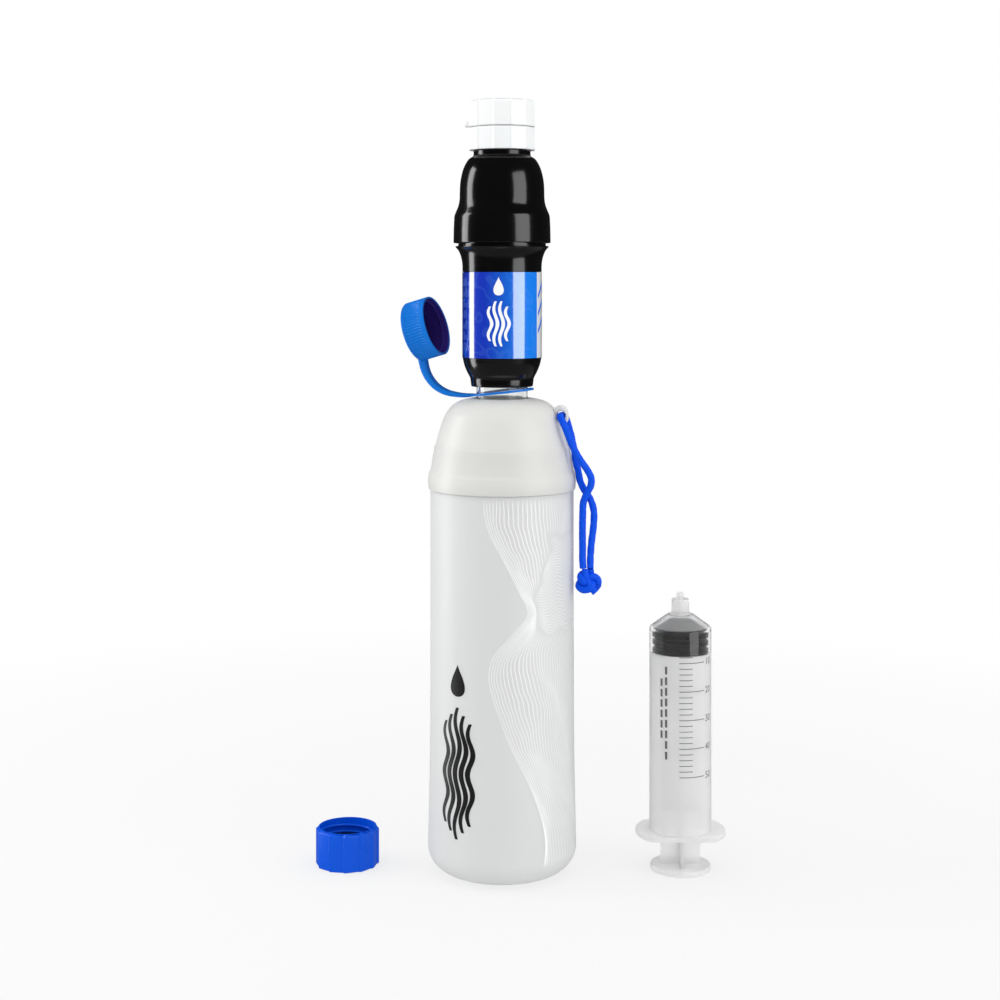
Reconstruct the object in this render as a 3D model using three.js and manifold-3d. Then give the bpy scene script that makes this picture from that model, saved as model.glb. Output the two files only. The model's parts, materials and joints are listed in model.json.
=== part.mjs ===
// Squeeze-bottle water filter with its cleaning kit, in millimetres, +Z up.
// The origin is the centre of the bottle's flat base; the bottle, shoulder, neck and filter share the Z axis.
import * as THREE from 'three';
import { mergeVertices } from 'three/addons/utils/BufferGeometryUtils.js';
import Module from 'manifold-3d';

const wasm = await Module();
wasm.setup();

// ---------- driving dimensions ----------
const GAP = 0.3; // clearance between pieces that touch
const SEAM = 0.1; // joint between pieces that are bonded
const SIDES = 24; // facets round the large parts
const SMALL_SIDES = 20; // facets round the small parts

const BOTTLE = {
  height: 203.5, footRadius: 36.1, waistRadius: 35.1, topRadius: 34.9, baseRadius: 22, cornerHeight: 12.5,
  wall: 1.3, fullHeight: 186.6, mouthRadius: 31, mouthWall: 1.7, rimInset: 0.6,
};
const SHOULDER = {
  rimHeight: 185.4, rimRadius: 36.1, topHeight: 229.4, topThickness: 2.2, threadBore: 33,
};
const BOTTLE_THREAD = { lead: 4, bead: 0.8, bite: 0.35, turns: 1.25, start: 192 };
const NECK_THREAD = { lead: 3.2, bead: 0.65, bite: 0.3 };
const NECK = { root: 12.45, bore: 10.85, top: 247, flangeRadius: 17, flangeThickness: 2, turns: 1.75 };
const SOCKET_BORE = 14; // bore of every cap or socket that screws on a neck
const WASHER = { thickness: 1.5, inner: 9.2 };

const FILTER = {
  inletHeight: 235.2, labelLow: 249.4, labelHigh: 290.8, labelRadius: 19.4, labelThickness: 0.35,
  rimHeight: 303.5, rimRadius: 22.7, collarHeight: 305, bore: 17.2, spigotRadius: 19.3, spigotHeight: 316,
  neckBase: 349.9, neckTop: 357.3, outletBore: 9.5, webThickness: 1.8, inletHole: 7.5,
};
const CARTRIDGE = { loopRadius: 12.6, fibreRadius: 2.1, loops: 5, low: 255, top: 317, discThickness: 7 };
const SPOUT = {
  low: 350.2, high: 361.2, radius: 16.2, fluteDepth: 0.6, flutes: 12, ceiling: 1.9, ringRadius: 14.9,
  ringHeight: 1.5, postRadius: 5, postBore: 3.6, postHeight: 5.8, pinRadius: 2, pinHeight: 2,
};
const NOZZLE = { radius: 7.6, height: 6.4, wall: 2, hole: 2.4 };
const DUST_CAP = {
  low: 361.6, high: 374.4, radius: 16.2, tabReach: 18.2, tabWidth: 9, tabHeight: 2.4, wall: 1.4,
};

const TETHER = {
  azimuth: 159.5, tilt: -6.5, ringHeight: 232.3, ringInner: 13.9, ringOuter: 15.6, ringThickness: 1.1,
  strapWidth: [6, 3.4], strapThickness: [1.4, 5], // at the ring, at the cap
};
const CAP = { radius: 14.9, depth: 13, wall: 1, facets: 24, tilt: 16, faceOut: 34.6, faceUp: 264.5 };

const LUG = {
  azimuth: -15, thickness: 3.2, out: 33, low: 214.5, high: 226.6, holeOut: 29.7, holeUp: 221.4, hole: 2.3,
};
const CORD_DIAMETER = 3.4;
const CORD_SIDES = 8;
const KNOT = { at: [42.8, 0, 141.4], radius: 6.2, height: 11.6 };

const SYRINGE = {
  at: [87, 0], barrelRadius: 15, barrelWall: 1.2, flangeHeight: 17.2, flangeThickness: 2.4, flangeHalf: 21.8,
  shoulder: 117.8, collarLow: 124.4, collarHigh: 131.6, collarRadius: 4.3, tip: 134.6, tipRadius: 1.75,
  tipBore: 1, discRadius: 14.6, discThickness: 2.6, ribHalf: 9.6, ribThickness: 1.7, sealHeight: 10.5,
  sealCone: 5,
};
const COUPLING = {
  at: [-76, 7], radius: 15.5, height: 18.7, flats: 12, ridge: 0.7, webThickness: 1.6, webHole: 10, turns: 1,
};

// ---------- shape helpers ----------
const RAD = Math.PI / 180;

/** A closed body with its faces turned outwards, ready to be joined or cut. */
function solid(geometry) {
  const bare = geometry.index ? geometry.toNonIndexed() : geometry.clone();
  for (const name of Object.keys(bare.attributes)) {
    if (name !== 'position') bare.deleteAttribute(name);
  }
  const merged = mergeVertices(bare, 1e-4);
  const position = merged.attributes.position;
  const corners = [...merged.index.array];
  const a = new THREE.Vector3();
  const b = new THREE.Vector3();
  const c = new THREE.Vector3();
  const faces = [];
  let volume = 0;
  for (let i = 0; i < corners.length; i += 3) {
    const [p, q, r] = corners.slice(i, i + 3);
    if (p === q || q === r || r === p) continue;
    a.fromBufferAttribute(position, p);
    b.fromBufferAttribute(position, q);
    c.fromBufferAttribute(position, r);
    volume += a.dot(b.cross(c));
    faces.push([p, q, r]);
  }
  const triVerts = new Uint32Array(faces.flatMap((f) => (volume < 0 ? [f[0], f[2], f[1]] : f)));
  const vertProperties = new Float32Array(position.array);
  return new wasm.Manifold(new wasm.Mesh({ numProp: 3, vertProperties, triVerts }));
}

/** The three.js geometry of a body. */
function geometryOf(body) {
  const mesh = body.getMesh();
  const geometry = new THREE.BufferGeometry();
  geometry.setAttribute('position', new THREE.BufferAttribute(new Float32Array(mesh.vertProperties), 3));
  geometry.setIndex([...mesh.triVerts]);
  geometry.computeVertexNormals();
  return geometry;
}

/** A body of revolution about Z; the outline is a list of [radius, height]. */
function turned(outline, sides = SIDES) {
  const points = outline.map(([radius, height]) => new THREE.Vector2(radius, height));
  return solid(new THREE.LatheGeometry(points, sides).rotateX(Math.PI / 2));
}

/** A hollow body of revolution whose outline closes on itself. */
function turnedRing(outline, sides = SIDES) {
  return turned([...outline, outline[0]], sides);
}

function disc(radius, low, high, sides = SIDES) {
  return turned([[0, low], [radius, low], [radius, high], [0, high]], sides);
}

function washer(inner, outer, low, high, sides = SIDES) {
  return turnedRing([[inner, low], [outer, low], [outer, high], [inner, high]], sides);
}

function block(width, depth, height, centre) {
  return solid(new THREE.BoxGeometry(width, depth, height).translate(...centre));
}

/** An outline in the XY plane raised from low to high. */
function prism(points, low, high) {
  const shape = new THREE.Shape(points.map(([x, y]) => new THREE.Vector2(x, y)));
  const depth = high - low;
  return solid(new THREE.ExtrudeGeometry(shape, { depth, bevelEnabled: false }).translate(0, 0, low));
}

/** A round rod along a curve, with flat ends. */
function rod(curve, radius, sides, steps) {
  const section = new THREE.Shape();
  for (let i = 0; i < sides; i += 1) {
    const angle = (2 * Math.PI * i) / sides;
    const put = i === 0 ? 'moveTo' : 'lineTo';
    section[put](radius * Math.cos(angle), radius * Math.sin(angle));
  }
  section.closePath();
  return solid(new THREE.ExtrudeGeometry(section, { steps, extrudePath: curve, curveSegments: 1 }));
}

/** A right-hand helix about Z. */
class Helix extends THREE.Curve {
  constructor(radius, low, turns, lead) {
    super();
    Object.assign(this, { radius, low, turns, lead });
  }

  getPoint(t, target = new THREE.Vector3()) {
    const angle = 2 * Math.PI * this.turns * t;
    const height = this.low + this.lead * this.turns * t;
    return target.set(this.radius * Math.cos(angle), this.radius * Math.sin(angle), height);
  }
}

/** The raised bead of a thread, centred on the given radius. */
function bead(thread, radius, low, turns) {
  const helix = new Helix(radius, low, turns, thread.lead);
  return rod(helix, thread.bead, 5, Math.round(turns * SIDES));
}

/** A bead outside a neck whose root has this radius. */
function outerBead(thread, root, low, turns) {
  return bead(thread, root + thread.bite, low, turns);
}

/** A bead inside a bore, half a lead below the outer bead it meets. */
function innerBead(thread, bore, outerLow, turns) {
  return bead(thread, bore - thread.bead + thread.bite, outerLow - thread.lead / 2, turns);
}

/** A circle with flutes: points of radius, sunk by depth between the ridges. */
function fluted(radius, depth, flutes, perFlute) {
  const count = flutes * perFlute;
  return Array.from({ length: count }, (_, i) => {
    const angle = (2 * Math.PI * i) / count;
    const wave = Math.abs(Math.cos((flutes * angle) / 2));
    const reach = radius - depth * wave;
    return [reach * Math.cos(angle), reach * Math.sin(angle)];
  });
}

// ---------- bottle ----------
function bottleBody() {
  const { footRadius, waistRadius, topRadius, baseRadius, cornerHeight, wall } = BOTTLE;
  const rim = SHOULDER.rimHeight - GAP;
  const corner = [0, 30, 60, 90].map((degrees) => [
    baseRadius + (footRadius - baseRadius) * Math.sin(degrees * RAD),
    cornerHeight * (1 - Math.cos(degrees * RAD)),
  ]);
  const inner = [
    [topRadius - wall, rim], [topRadius - wall, 130], [waistRadius - wall, 55],
    [footRadius - wall, cornerHeight + 1], [baseRadius + 8, 4], [baseRadius - 1, 2.2], [0, 2.2],
  ];
  return turned([[0, 0], ...corner, [waistRadius, 55], [topRadius, 130], [topRadius, rim], ...inner]);
}

/** The threaded mouth with its ledge, bonded on top of the bottle. */
function bottleMouth() {
  const { height, fullHeight, topRadius, rimInset, mouthRadius, mouthWall } = BOTTLE;
  const low = SHOULDER.rimHeight - GAP + SEAM;
  const { start, turns } = BOTTLE_THREAD;
  const ring = turnedRing([
    [mouthRadius - mouthWall, low], [topRadius - rimInset, low], [topRadius - rimInset, fullHeight],
    [mouthRadius, fullHeight + GAP], [mouthRadius, height], [mouthRadius - mouthWall, height],
  ]);
  return ring.add(outerBead(BOTTLE_THREAD, mouthRadius, start, turns));
}

function shoulderGasket() {
  const low = BOTTLE.height + GAP;
  return washer(BOTTLE.mouthRadius - 3, BOTTLE.mouthRadius - 0.4, low, low + WASHER.thickness);
}

/** Outer outline of the dome, from the rim to the flat top. */
const DOME = [
  [SHOULDER.rimRadius - 0.3, SHOULDER.rimHeight], [SHOULDER.rimRadius, 189.3], [35.7, 193.2], [34.9, 194.6],
  [33.7, 201.1], [32.7, 206.9], [31.1, 211.8], [29.3, 217.8], [26.9, 223.2], [22.4, 227.6],
];

function shoulder() {
  const { rimHeight, topHeight, topThickness, threadBore } = SHOULDER;
  const throat = NECK.root + GAP;
  const ledge = BOTTLE.height + WASHER.thickness + 2 * GAP;
  const inside = [
    [throat, topHeight - topThickness], [NECK.flangeRadius + GAP, topHeight - topThickness],
    [20.8, topHeight - topThickness - 1.8], [24.8, 222], [27.2, 216.8],
    [BOTTLE.mouthRadius - 2.6, ledge + 3], [BOTTLE.mouthRadius - 2.6, ledge], [BOTTLE.mouthRadius + 0.9, ledge],
    [threadBore, ledge - 5.6], [threadBore, BOTTLE.fullHeight + 2 * GAP],
    [BOTTLE.topRadius + GAP, BOTTLE.fullHeight + 2 * GAP], [BOTTLE.topRadius + GAP, rimHeight],
  ];
  const dome = turnedRing([...DOME, [16, topHeight], [throat, topHeight], ...inside]);
  const { start, turns } = BOTTLE_THREAD;
  return dome.add(innerBead(BOTTLE_THREAD, threadBore, start, turns)).add(lug());
}

/** Fin on the dome with the hole that the lanyard runs through. */
function lug() {
  const { thickness, out, low, high, holeOut, holeUp, hole } = LUG;
  const nose = [90, 60, 30, 0].map((degrees) => [
    28.6 + (out - 28.6) * Math.cos(degrees * RAD),
    holeUp + (high - holeUp) * Math.sin(degrees * RAD),
  ]);
  const outline = [[25.6, high - 1.6], ...nose, [out, holeUp - 2.4], [30.4, low], [28.6, low], [25.6, high - 4]];
  const plate = prism(outline, -thickness / 2, thickness / 2);
  const eye = disc(hole, -thickness, thickness, 16).translate([holeOut, holeUp, 0]);
  return atLug(plate.subtract(eye).rotate([90, 0, 0]));
}

function neckInsert() {
  const { root, bore, top, flangeRadius, flangeThickness, turns } = NECK;
  const flangeTop = SHOULDER.topHeight - SHOULDER.topThickness - GAP;
  const tube = turnedRing([
    [bore, flangeTop - flangeThickness], [flangeRadius, flangeTop - flangeThickness], [flangeRadius, flangeTop],
    [root, flangeTop], [root, top], [bore, top],
  ]);
  return tube.add(outerBead(NECK_THREAD, root, INLET_THREAD, turns));
}

/** Height at which the neck's outer bead starts. */
const INLET_THREAD = FILTER.inletHeight + 3.6;

// ---------- filter ----------
function inletGasket() {
  const low = NECK.top + GAP;
  return washer(WASHER.inner, SOCKET_BORE - 0.9, low, low + WASHER.thickness, SMALL_SIDES);
}

function lowerHousing() {
  const { inletHeight, labelLow, labelHigh, labelRadius, labelThickness, rimHeight, rimRadius } = FILTER;
  const { bore, spigotRadius, spigotHeight, webThickness, inletHole, collarHeight } = FILTER;
  const ceiling = NECK.top + WASHER.thickness + 2 * GAP;
  const seat = labelRadius - labelThickness - GAP;
  const outer = [
    [15.1, inletHeight], [15.5, inletHeight + 2.6], [16.2, inletHeight + 5.2], [17.7, inletHeight + 8],
    [18.6, inletHeight + 10.8], [19.1, labelLow - 0.6], [seat, labelLow - GAP], [seat, labelHigh + GAP],
    [19.2, labelHigh + 0.6], [19.4, 294], [20.1, 298.7], [21.2, 301.4], [rimRadius, rimHeight - 0.4],
    [rimRadius, rimHeight], [rimRadius - 1.3, rimHeight], [rimRadius - 1.3, collarHeight - GAP],
    [spigotRadius, collarHeight - GAP], [spigotRadius, spigotHeight],
  ];
  const inside = [
    [bore, spigotHeight], [bore, ceiling + webThickness], [inletHole, ceiling + webThickness],
    [inletHole, ceiling], [SOCKET_BORE, ceiling], [SOCKET_BORE, inletHeight],
  ];
  const casing = turnedRing([...outer, ...inside]);
  const seal = washer(spigotRadius - 1.2, spigotRadius + 1, O_RING_LOW, O_RING_LOW + O_RING_WIDTH);
  return casing.subtract(seal).add(innerBead(NECK_THREAD, SOCKET_BORE, INLET_THREAD, NECK.turns));
}

const O_RING_LOW = 309;
const O_RING_WIDTH = 2.4;

/** Seal in the groove round the lower half's spigot. */
function housingORing() {
  const inner = FILTER.spigotRadius - 1.2 + GAP;
  const outer = FILTER.spigotRadius + 0.1;
  return washer(inner, outer, O_RING_LOW + GAP, O_RING_LOW + O_RING_WIDTH - GAP);
}

function filterLabel() {
  const { labelLow, labelHigh, labelRadius, labelThickness } = FILTER;
  return washer(labelRadius - labelThickness, labelRadius, labelLow, labelHigh);
}

/** Start of the outer bead on the filter's outlet neck. */
const OUTLET_THREAD = SPOUT.low + 3.2;

function upperHousing() {
  const { collarHeight, bore, spigotRadius, spigotHeight, neckBase, outletBore } = FILTER;
  const outer = [
    [23.7, collarHeight], [23.6, 312], [23.2, 318.7], [22.4, 320.4], [21.2, 323.2], [20.7, 326], [20.6, 333],
    [20.1, 336.7], [19.3, 340.2], [18, 343.6], [16.2, 346], [13.9, 347.2], [13.9, neckBase],
  ];
  const inside = [
    [outletBore, neckBase], [outletBore, 345.4], [14.4, 343], [17, 338.6], [bore + 0.7, 333],
    [bore + 0.7, spigotHeight + 2], [spigotRadius + GAP, spigotHeight + 2], [spigotRadius + GAP, collarHeight],
  ];
  return turnedRing([...outer, ...inside]);
}

/** The threaded outlet, bonded on top of the upper housing. */
function outletNeck() {
  const { neckBase, neckTop, outletBore } = FILTER;
  const ring = washer(outletBore, NECK.root, neckBase + SEAM, neckTop);
  return ring.add(outerBead(NECK_THREAD, NECK.root, OUTLET_THREAD, 1));
}

/** Loops of hollow fibre that cross at the bottom of the casing. */
function fibreBundle() {
  const { loopRadius, fibreRadius, loops, low, top } = CARTRIDGE;
  const bend = low + fibreRadius + loopRadius;
  let bundle = null;
  for (let i = 0; i < loops; i += 1) {
    const angle = (Math.PI * i) / loops;
    const across = new THREE.Vector3(Math.cos(angle), Math.sin(angle), 0).multiplyScalar(loopRadius);
    const points = [across.clone().setZ(top), across.clone().setZ((top + bend) / 2)];
    for (let turn = 0; turn <= 6; turn += 1) {
      const bent = (Math.PI * turn) / 6;
      const point = across.clone().multiplyScalar(Math.cos(bent));
      points.push(point.setZ(bend - loopRadius * Math.sin(bent)));
    }
    points.push(across.clone().negate().setZ((top + bend) / 2), across.clone().negate().setZ(top));
    const loop = rod(new THREE.CatmullRomCurve3(points, false, 'centripetal'), fibreRadius, 6, 12);
    bundle = bundle ? bundle.add(loop) : loop;
  }
  return bundle;
}

function pottingDisc() {
  const low = CARTRIDGE.top + GAP + 1;
  return disc(FILTER.bore + 0.7 - GAP, low + GAP, low + CARTRIDGE.discThickness);
}

// ---------- spout ----------
function outletGasket() {
  const low = FILTER.neckTop + GAP;
  return washer(WASHER.inner, SOCKET_BORE - 0.9, low, low + 1.2, SMALL_SIDES);
}

function spoutCap() {
  const { low, high, radius, fluteDepth, flutes, ceiling, ringRadius, ringHeight } = SPOUT;
  const { postRadius, postBore, postHeight, pinRadius, pinHeight } = SPOUT;
  const ring = washer(ringRadius - 1.5, ringRadius, high - 0.2, high + ringHeight);
  const post = disc(postRadius, high - 0.2, high + postHeight, SMALL_SIDES);
  const pin = disc(pinRadius, high + postHeight - 0.2, high + postHeight + pinHeight, SMALL_SIDES);
  const socket = disc(SOCKET_BORE, low - 1, high - ceiling);
  let cap = prism(fluted(radius + fluteDepth, fluteDepth, flutes, 3), low, high).add(ring).subtract(socket);
  cap = cap.add(post).add(pin);
  const channel = washer(pinRadius, postBore, high - ceiling - 1, high + postHeight + 0.1, SMALL_SIDES);
  const web = block(2 * postRadius - 1, 1.2, 2, [0, 0, high + 1]);
  const beadPart = innerBead(NECK_THREAD, SOCKET_BORE, OUTLET_THREAD, 1);
  return cap.subtract(channel).add(web).add(beadPart);
}

function spoutNozzle() {
  const low = SPOUT.high + GAP;
  const { radius, height, wall, hole } = NOZZLE;
  const top = low + height;
  const inner = SPOUT.postRadius + GAP;
  const ceiling = SPOUT.high + SPOUT.postHeight + GAP;
  return turnedRing([
    [inner, low], [radius + 1, low], [radius + 1, low + 1], [radius, low + 1.6], [radius - 0.8, top - 1.2],
    [radius - wall, top + 1], [hole, top + 1], [hole, ceiling], [inner, ceiling],
  ], SMALL_SIDES);
}

function dustCap() {
  const { low, high, radius, tabReach, tabWidth, tabHeight, wall } = DUST_CAP;
  const { fluteDepth, flutes, ringRadius } = SPOUT;
  const bodyPart = prism(fluted(radius + fluteDepth, fluteDepth, flutes, 3), low, high - 1);
  const crown = turned([[0, high - 1.2], [radius - 0.2, high - 1.2], [radius - 1.2, high], [0, high]]);
  const tab = block(tabReach - 14, tabWidth, tabHeight, [-(tabReach + 14) / 2, 0, low + tabHeight / 2]);
  const inside = disc(ringRadius + GAP, low - 1, high - wall);
  return bodyPart.add(crown).add(tab).subtract(inside);
}

// ---------- tether ----------
/** Places a body drawn in the tether's own plane (X outwards, Z up) at its place round the neck. */
function aroundNeck(body) {
  return body.rotate([0, 0, TETHER.azimuth]);
}

function tetherRing() {
  const { ringInner, ringOuter, ringThickness, tilt, ringHeight } = TETHER;
  const ring = washer(ringInner, ringOuter, -ringThickness / 2, ringThickness / 2);
  return aroundNeck(ring.rotate([0, -tilt, 0]).translate([0, 0, ringHeight]));
}

/** Middle line of the strap from the ring to the cap, as [outwards, up]. */
const STRAP_LINE = [
  [16.05, 230.45], [19, 230.3], [24, 230.6], [29.5, 231.7], [34.6, 234.4], [38.4, 238.4], [40.5, 242.4],
  [41.55, 246.4],
];

function tetherStrap() {
  const { strapWidth, strapThickness } = TETHER;
  const line = new THREE.CatmullRomCurve3(STRAP_LINE.map(([out, up]) => new THREE.Vector3(out, 0, up)));
  const steps = 12;
  const left = [];
  const right = [];
  for (let i = 0; i <= steps; i += 1) {
    const share = i / steps;
    const point = line.getPoint(share);
    const along = line.getTangent(share);
    const half = (strapThickness[0] + (strapThickness[1] - strapThickness[0]) * share ** 2) / 2;
    left.push([point.x - along.z * half, point.z + along.x * half]);
    right.unshift([point.x + along.z * half, point.z - along.x * half]);
  }
  const [wide, narrow] = strapWidth.map((width) => width / 2);
  const band = prism([...left, ...right], -wide, wide).rotate([90, 0, 0]);
  const bend = STRAP_LINE[3][0];
  const plan = [[10, -wide], [bend, -wide], [50, -narrow], [50, narrow], [bend, wide], [10, wide]];
  return aroundNeck(band.intersect(prism(plan, 0, CAP.faceUp)));
}

/** Turns a cap drawn with its closed end at z = 0 and its mouth at z = depth to lie beside the filter. */
function besideFilter(body) {
  const { depth, tilt, faceOut, faceUp } = CAP;
  const lean = body.translate([0, 0, -depth]).rotate([0, tilt - 90, 0]);
  return aroundNeck(lean.translate([faceOut, 0, faceUp]));
}

function tetherCap() {
  const { radius, depth, wall, facets } = CAP;
  const outer = turned([[0, 0], [radius - 1, 0], [radius, 1], [radius, depth], [0, depth]], facets);
  const hollow = disc(radius - wall, 1.6, depth + 1);
  const thread = bead(NECK_THREAD, radius - wall - NECK_THREAD.bead + 0.2, depth - 5.4, 1.2);
  return besideFilter(outer.subtract(hollow).add(thread));
}

function tetherCapLiner() {
  return besideFilter(disc(CAP.radius - CAP.wall - 0.5, 1.6 + GAP, 1.6 + GAP + 1));
}

// ---------- lanyard ----------
/** Middle lines of the strands, as [outwards, along, up] in the lug's own plane. */
const FRONT_STRAND = [
  [29.7, -0.2, 221.4], [29.7, -2.4, 221.4], [30.3, -4.8, 220.8], [31.8, -6.6, 219], [33.4, -7.2, 216],
  [34.8, -6.9, 212.3], [36.2, -6, 208.4], [38, -5, 204.2], [40.2, -4, 200.2], [43, -3, 196],
  [44.9, -2.3, 191.8], [44.6, -2, 188], [42.6, -2, 184.2], [41, -1.9, 180], [40.6, -1.6, 174],
  [40.4, -1.3, 166], [40.4, -1, 158], [40.4, -1, 152], [40.7, -0.9, 148.2],
];
const REAR_STRAND = [
  [29.7, 0.2, 221.4], [29.7, 2.4, 221.4], [30.2, 4.8, 220.8], [30.9, 6.4, 219], [31.6, 6.8, 216.2],
  [33, 6, 212.2], [34.2, 5, 208], [35.3, 4, 203.5], [36.1, 3, 199], [37.5, 2.4, 194.6], [38.5, 2, 190],
  [40.6, 1.9, 185.6], [43.7, 1.8, 181], [45.3, 1.6, 176], [45.4, 1.3, 169.8], [44.3, 1, 160],
  [43.8, 0.9, 152.6], [43.8, 0.9, 148.2],
];

/** Turns what is drawn in the lug's plane to its place on the dome. */
function atLug(body) {
  return body.rotate([0, 0, LUG.azimuth]);
}

function strand(points) {
  const line = new THREE.CatmullRomCurve3(points.map((p) => new THREE.Vector3(...p)), false, 'centripetal');
  return atLug(rod(line, CORD_DIAMETER / 2, CORD_SIDES, 16));
}

function lanyardKnot() {
  const knot = new THREE.SphereGeometry(1, 12, 8).scale(KNOT.radius, KNOT.radius * 0.86, KNOT.height / 2);
  return atLug(solid(knot.translate(...KNOT.at)));
}

// ---------- cleaning plunger ----------
function atSyringe(body) {
  return body.translate([...SYRINGE.at, 0]);
}

const SYRINGE_BORE = SYRINGE.barrelRadius - SYRINGE.barrelWall;

function syringeBarrel() {
  const { barrelRadius, barrelWall, flangeHeight, flangeThickness, flangeHalf, shoulder: top } = SYRINGE;
  const { collarLow, collarHigh, collarRadius, tip, tipRadius, tipBore } = SYRINGE;
  const tube = turnedRing([
    [SYRINGE_BORE, flangeHeight], [barrelRadius, flangeHeight], [barrelRadius, top], [6, collarLow],
    [collarRadius, collarLow], [collarRadius, collarHigh], [collarRadius - 1.2, collarHigh],
    [collarRadius - 1.2, collarLow + 1.6], [tipRadius + 0.4, collarLow + 1.6], [tipRadius, tip], [tipBore, tip],
    [tipBore, collarLow - barrelWall], [5.4, collarLow - barrelWall - 0.4], [SYRINGE_BORE, top - 1],
  ], SIDES);
  const high = flangeHeight + flangeThickness;
  const wings = disc(flangeHalf, flangeHeight, high).intersect(
    block(2 * flangeHalf, 2 * barrelRadius + 1.6, 20, [0, 0, flangeHeight]),
  );
  return atSyringe(tube.add(wings.subtract(disc(SYRINGE_BORE, flangeHeight - 1, high + 1))));
}

/** Heights of the rubber seal, with the plunger pushed right home. */
const SEAL_TOP = SYRINGE.shoulder - 1 - GAP;
const SEAL_LOW = SEAL_TOP - SYRINGE.sealHeight;

function plungerRod() {
  const { discRadius, discThickness, ribHalf, ribThickness } = SYRINGE;
  const ribTop = SEAL_LOW - GAP;
  const height = ribTop - discThickness + 0.4;
  const middle = [0, 0, discThickness - 0.4 + height / 2];
  const across = block(ribThickness, 2 * ribHalf, height, middle);
  const ribs = block(2 * ribHalf, ribThickness, height, middle).add(across);
  const collar = disc(SYRINGE_BORE - 1, ribTop - 2, ribTop, SMALL_SIDES);
  const stem = disc(4, ribTop - 0.4, SEAL_TOP - 3, SMALL_SIDES);
  return atSyringe(disc(discRadius, 0, discThickness).add(ribs).add(collar).add(stem));
}

/** Ribbed rubber cup seated over the rod's stem. */
function plungerSeal() {
  const radius = SYRINGE_BORE - GAP;
  const valley = radius - 1.2;
  const stem = 4 + GAP;
  return atSyringe(turned([
    [stem, SEAL_LOW], [radius, SEAL_LOW], [radius, SEAL_LOW + 1.8], [valley, SEAL_LOW + 2.4],
    [valley, SEAL_LOW + 3.6], [radius, SEAL_LOW + 4.2], [radius, SEAL_LOW + 5.6], [valley, SEAL_LOW + 6.2],
    [valley, SEAL_LOW + 7.2], [radius, SEAL_LOW + 7.8], [radius, SEAL_TOP - 0.4],
    [5, SEAL_TOP + SYRINGE.sealCone], [0, SEAL_TOP + SYRINGE.sealCone],
    [0, SEAL_TOP - 3 + GAP], [stem, SEAL_TOP - 3 + GAP], [stem, SEAL_LOW],
  ]));
}

// ---------- cleaning coupling ----------
function atCoupling(body) {
  return body.translate([...COUPLING.at, 0]);
}

function cleaningCoupling() {
  const { radius, height, flats, ridge, webThickness, webHole, turns } = COUPLING;
  const middle = height / 2;
  const outline = [];
  for (let i = 0; i < flats; i += 1) {
    const start = (2 * Math.PI * i) / flats;
    const end = start + (2 * Math.PI * 0.86) / flats;
    outline.push([radius * Math.cos(start), radius * Math.sin(start)]);
    outline.push([(radius - ridge) * Math.cos(end), (radius - ridge) * Math.sin(end)]);
  }
  const base = prism(outline, 0, height - 1);
  const crown = disc(radius - ridge - 0.2, height - 1.2, height);
  const lowBore = disc(SOCKET_BORE - 0.4, -1, middle - webThickness / 2);
  const highBore = disc(SOCKET_BORE - 0.4, middle + webThickness / 2, height + 1);
  const shell = base.add(crown).subtract(lowBore).subtract(highBore).subtract(disc(webHole, -1, height + 1));
  const beadRadius = SOCKET_BORE - 0.4 - NECK_THREAD.bead + 0.2;
  const lowBead = bead(NECK_THREAD, beadRadius, 1.4, turns);
  const highBead = bead(NECK_THREAD, beadRadius, height - 1.6 - NECK_THREAD.lead * turns, turns);
  return atCoupling(shell.add(lowBead).add(highBead));
}

function couplingWasher() {
  const low = (COUPLING.height + COUPLING.webThickness) / 2 + GAP;
  return atCoupling(washer(COUPLING.webHole - 0.6, SOCKET_BORE - 2, low, low + 1.1, SMALL_SIDES));
}

// ---------- materials and assembly ----------
function finish(color, roughness, metalness = 0) {
  return new THREE.MeshStandardMaterial({ color, roughness, metalness });
}

const FROSTED = finish(0xe6e8e6, 0.55);
const CLEAR = finish(0xf2f5f5, 0.15);
const WHITE = finish(0xf6f6f6, 0.4);
const BLACK = finish(0x0b0b0c, 0.25);
const RUBBER = finish(0x1a1a1c, 0.7);
const SEAL_GREY = finish(0x9a9a9a, 0.75);
const AZURE = finish(0x0a6fd0, 0.4);
const ROYAL = finish(0x0a3fd6, 0.35);
const FIBRE = finish(0xf0eee6, 0.8);
const CORD_BLUE = finish(0x0648e6, 0.8);

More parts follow.
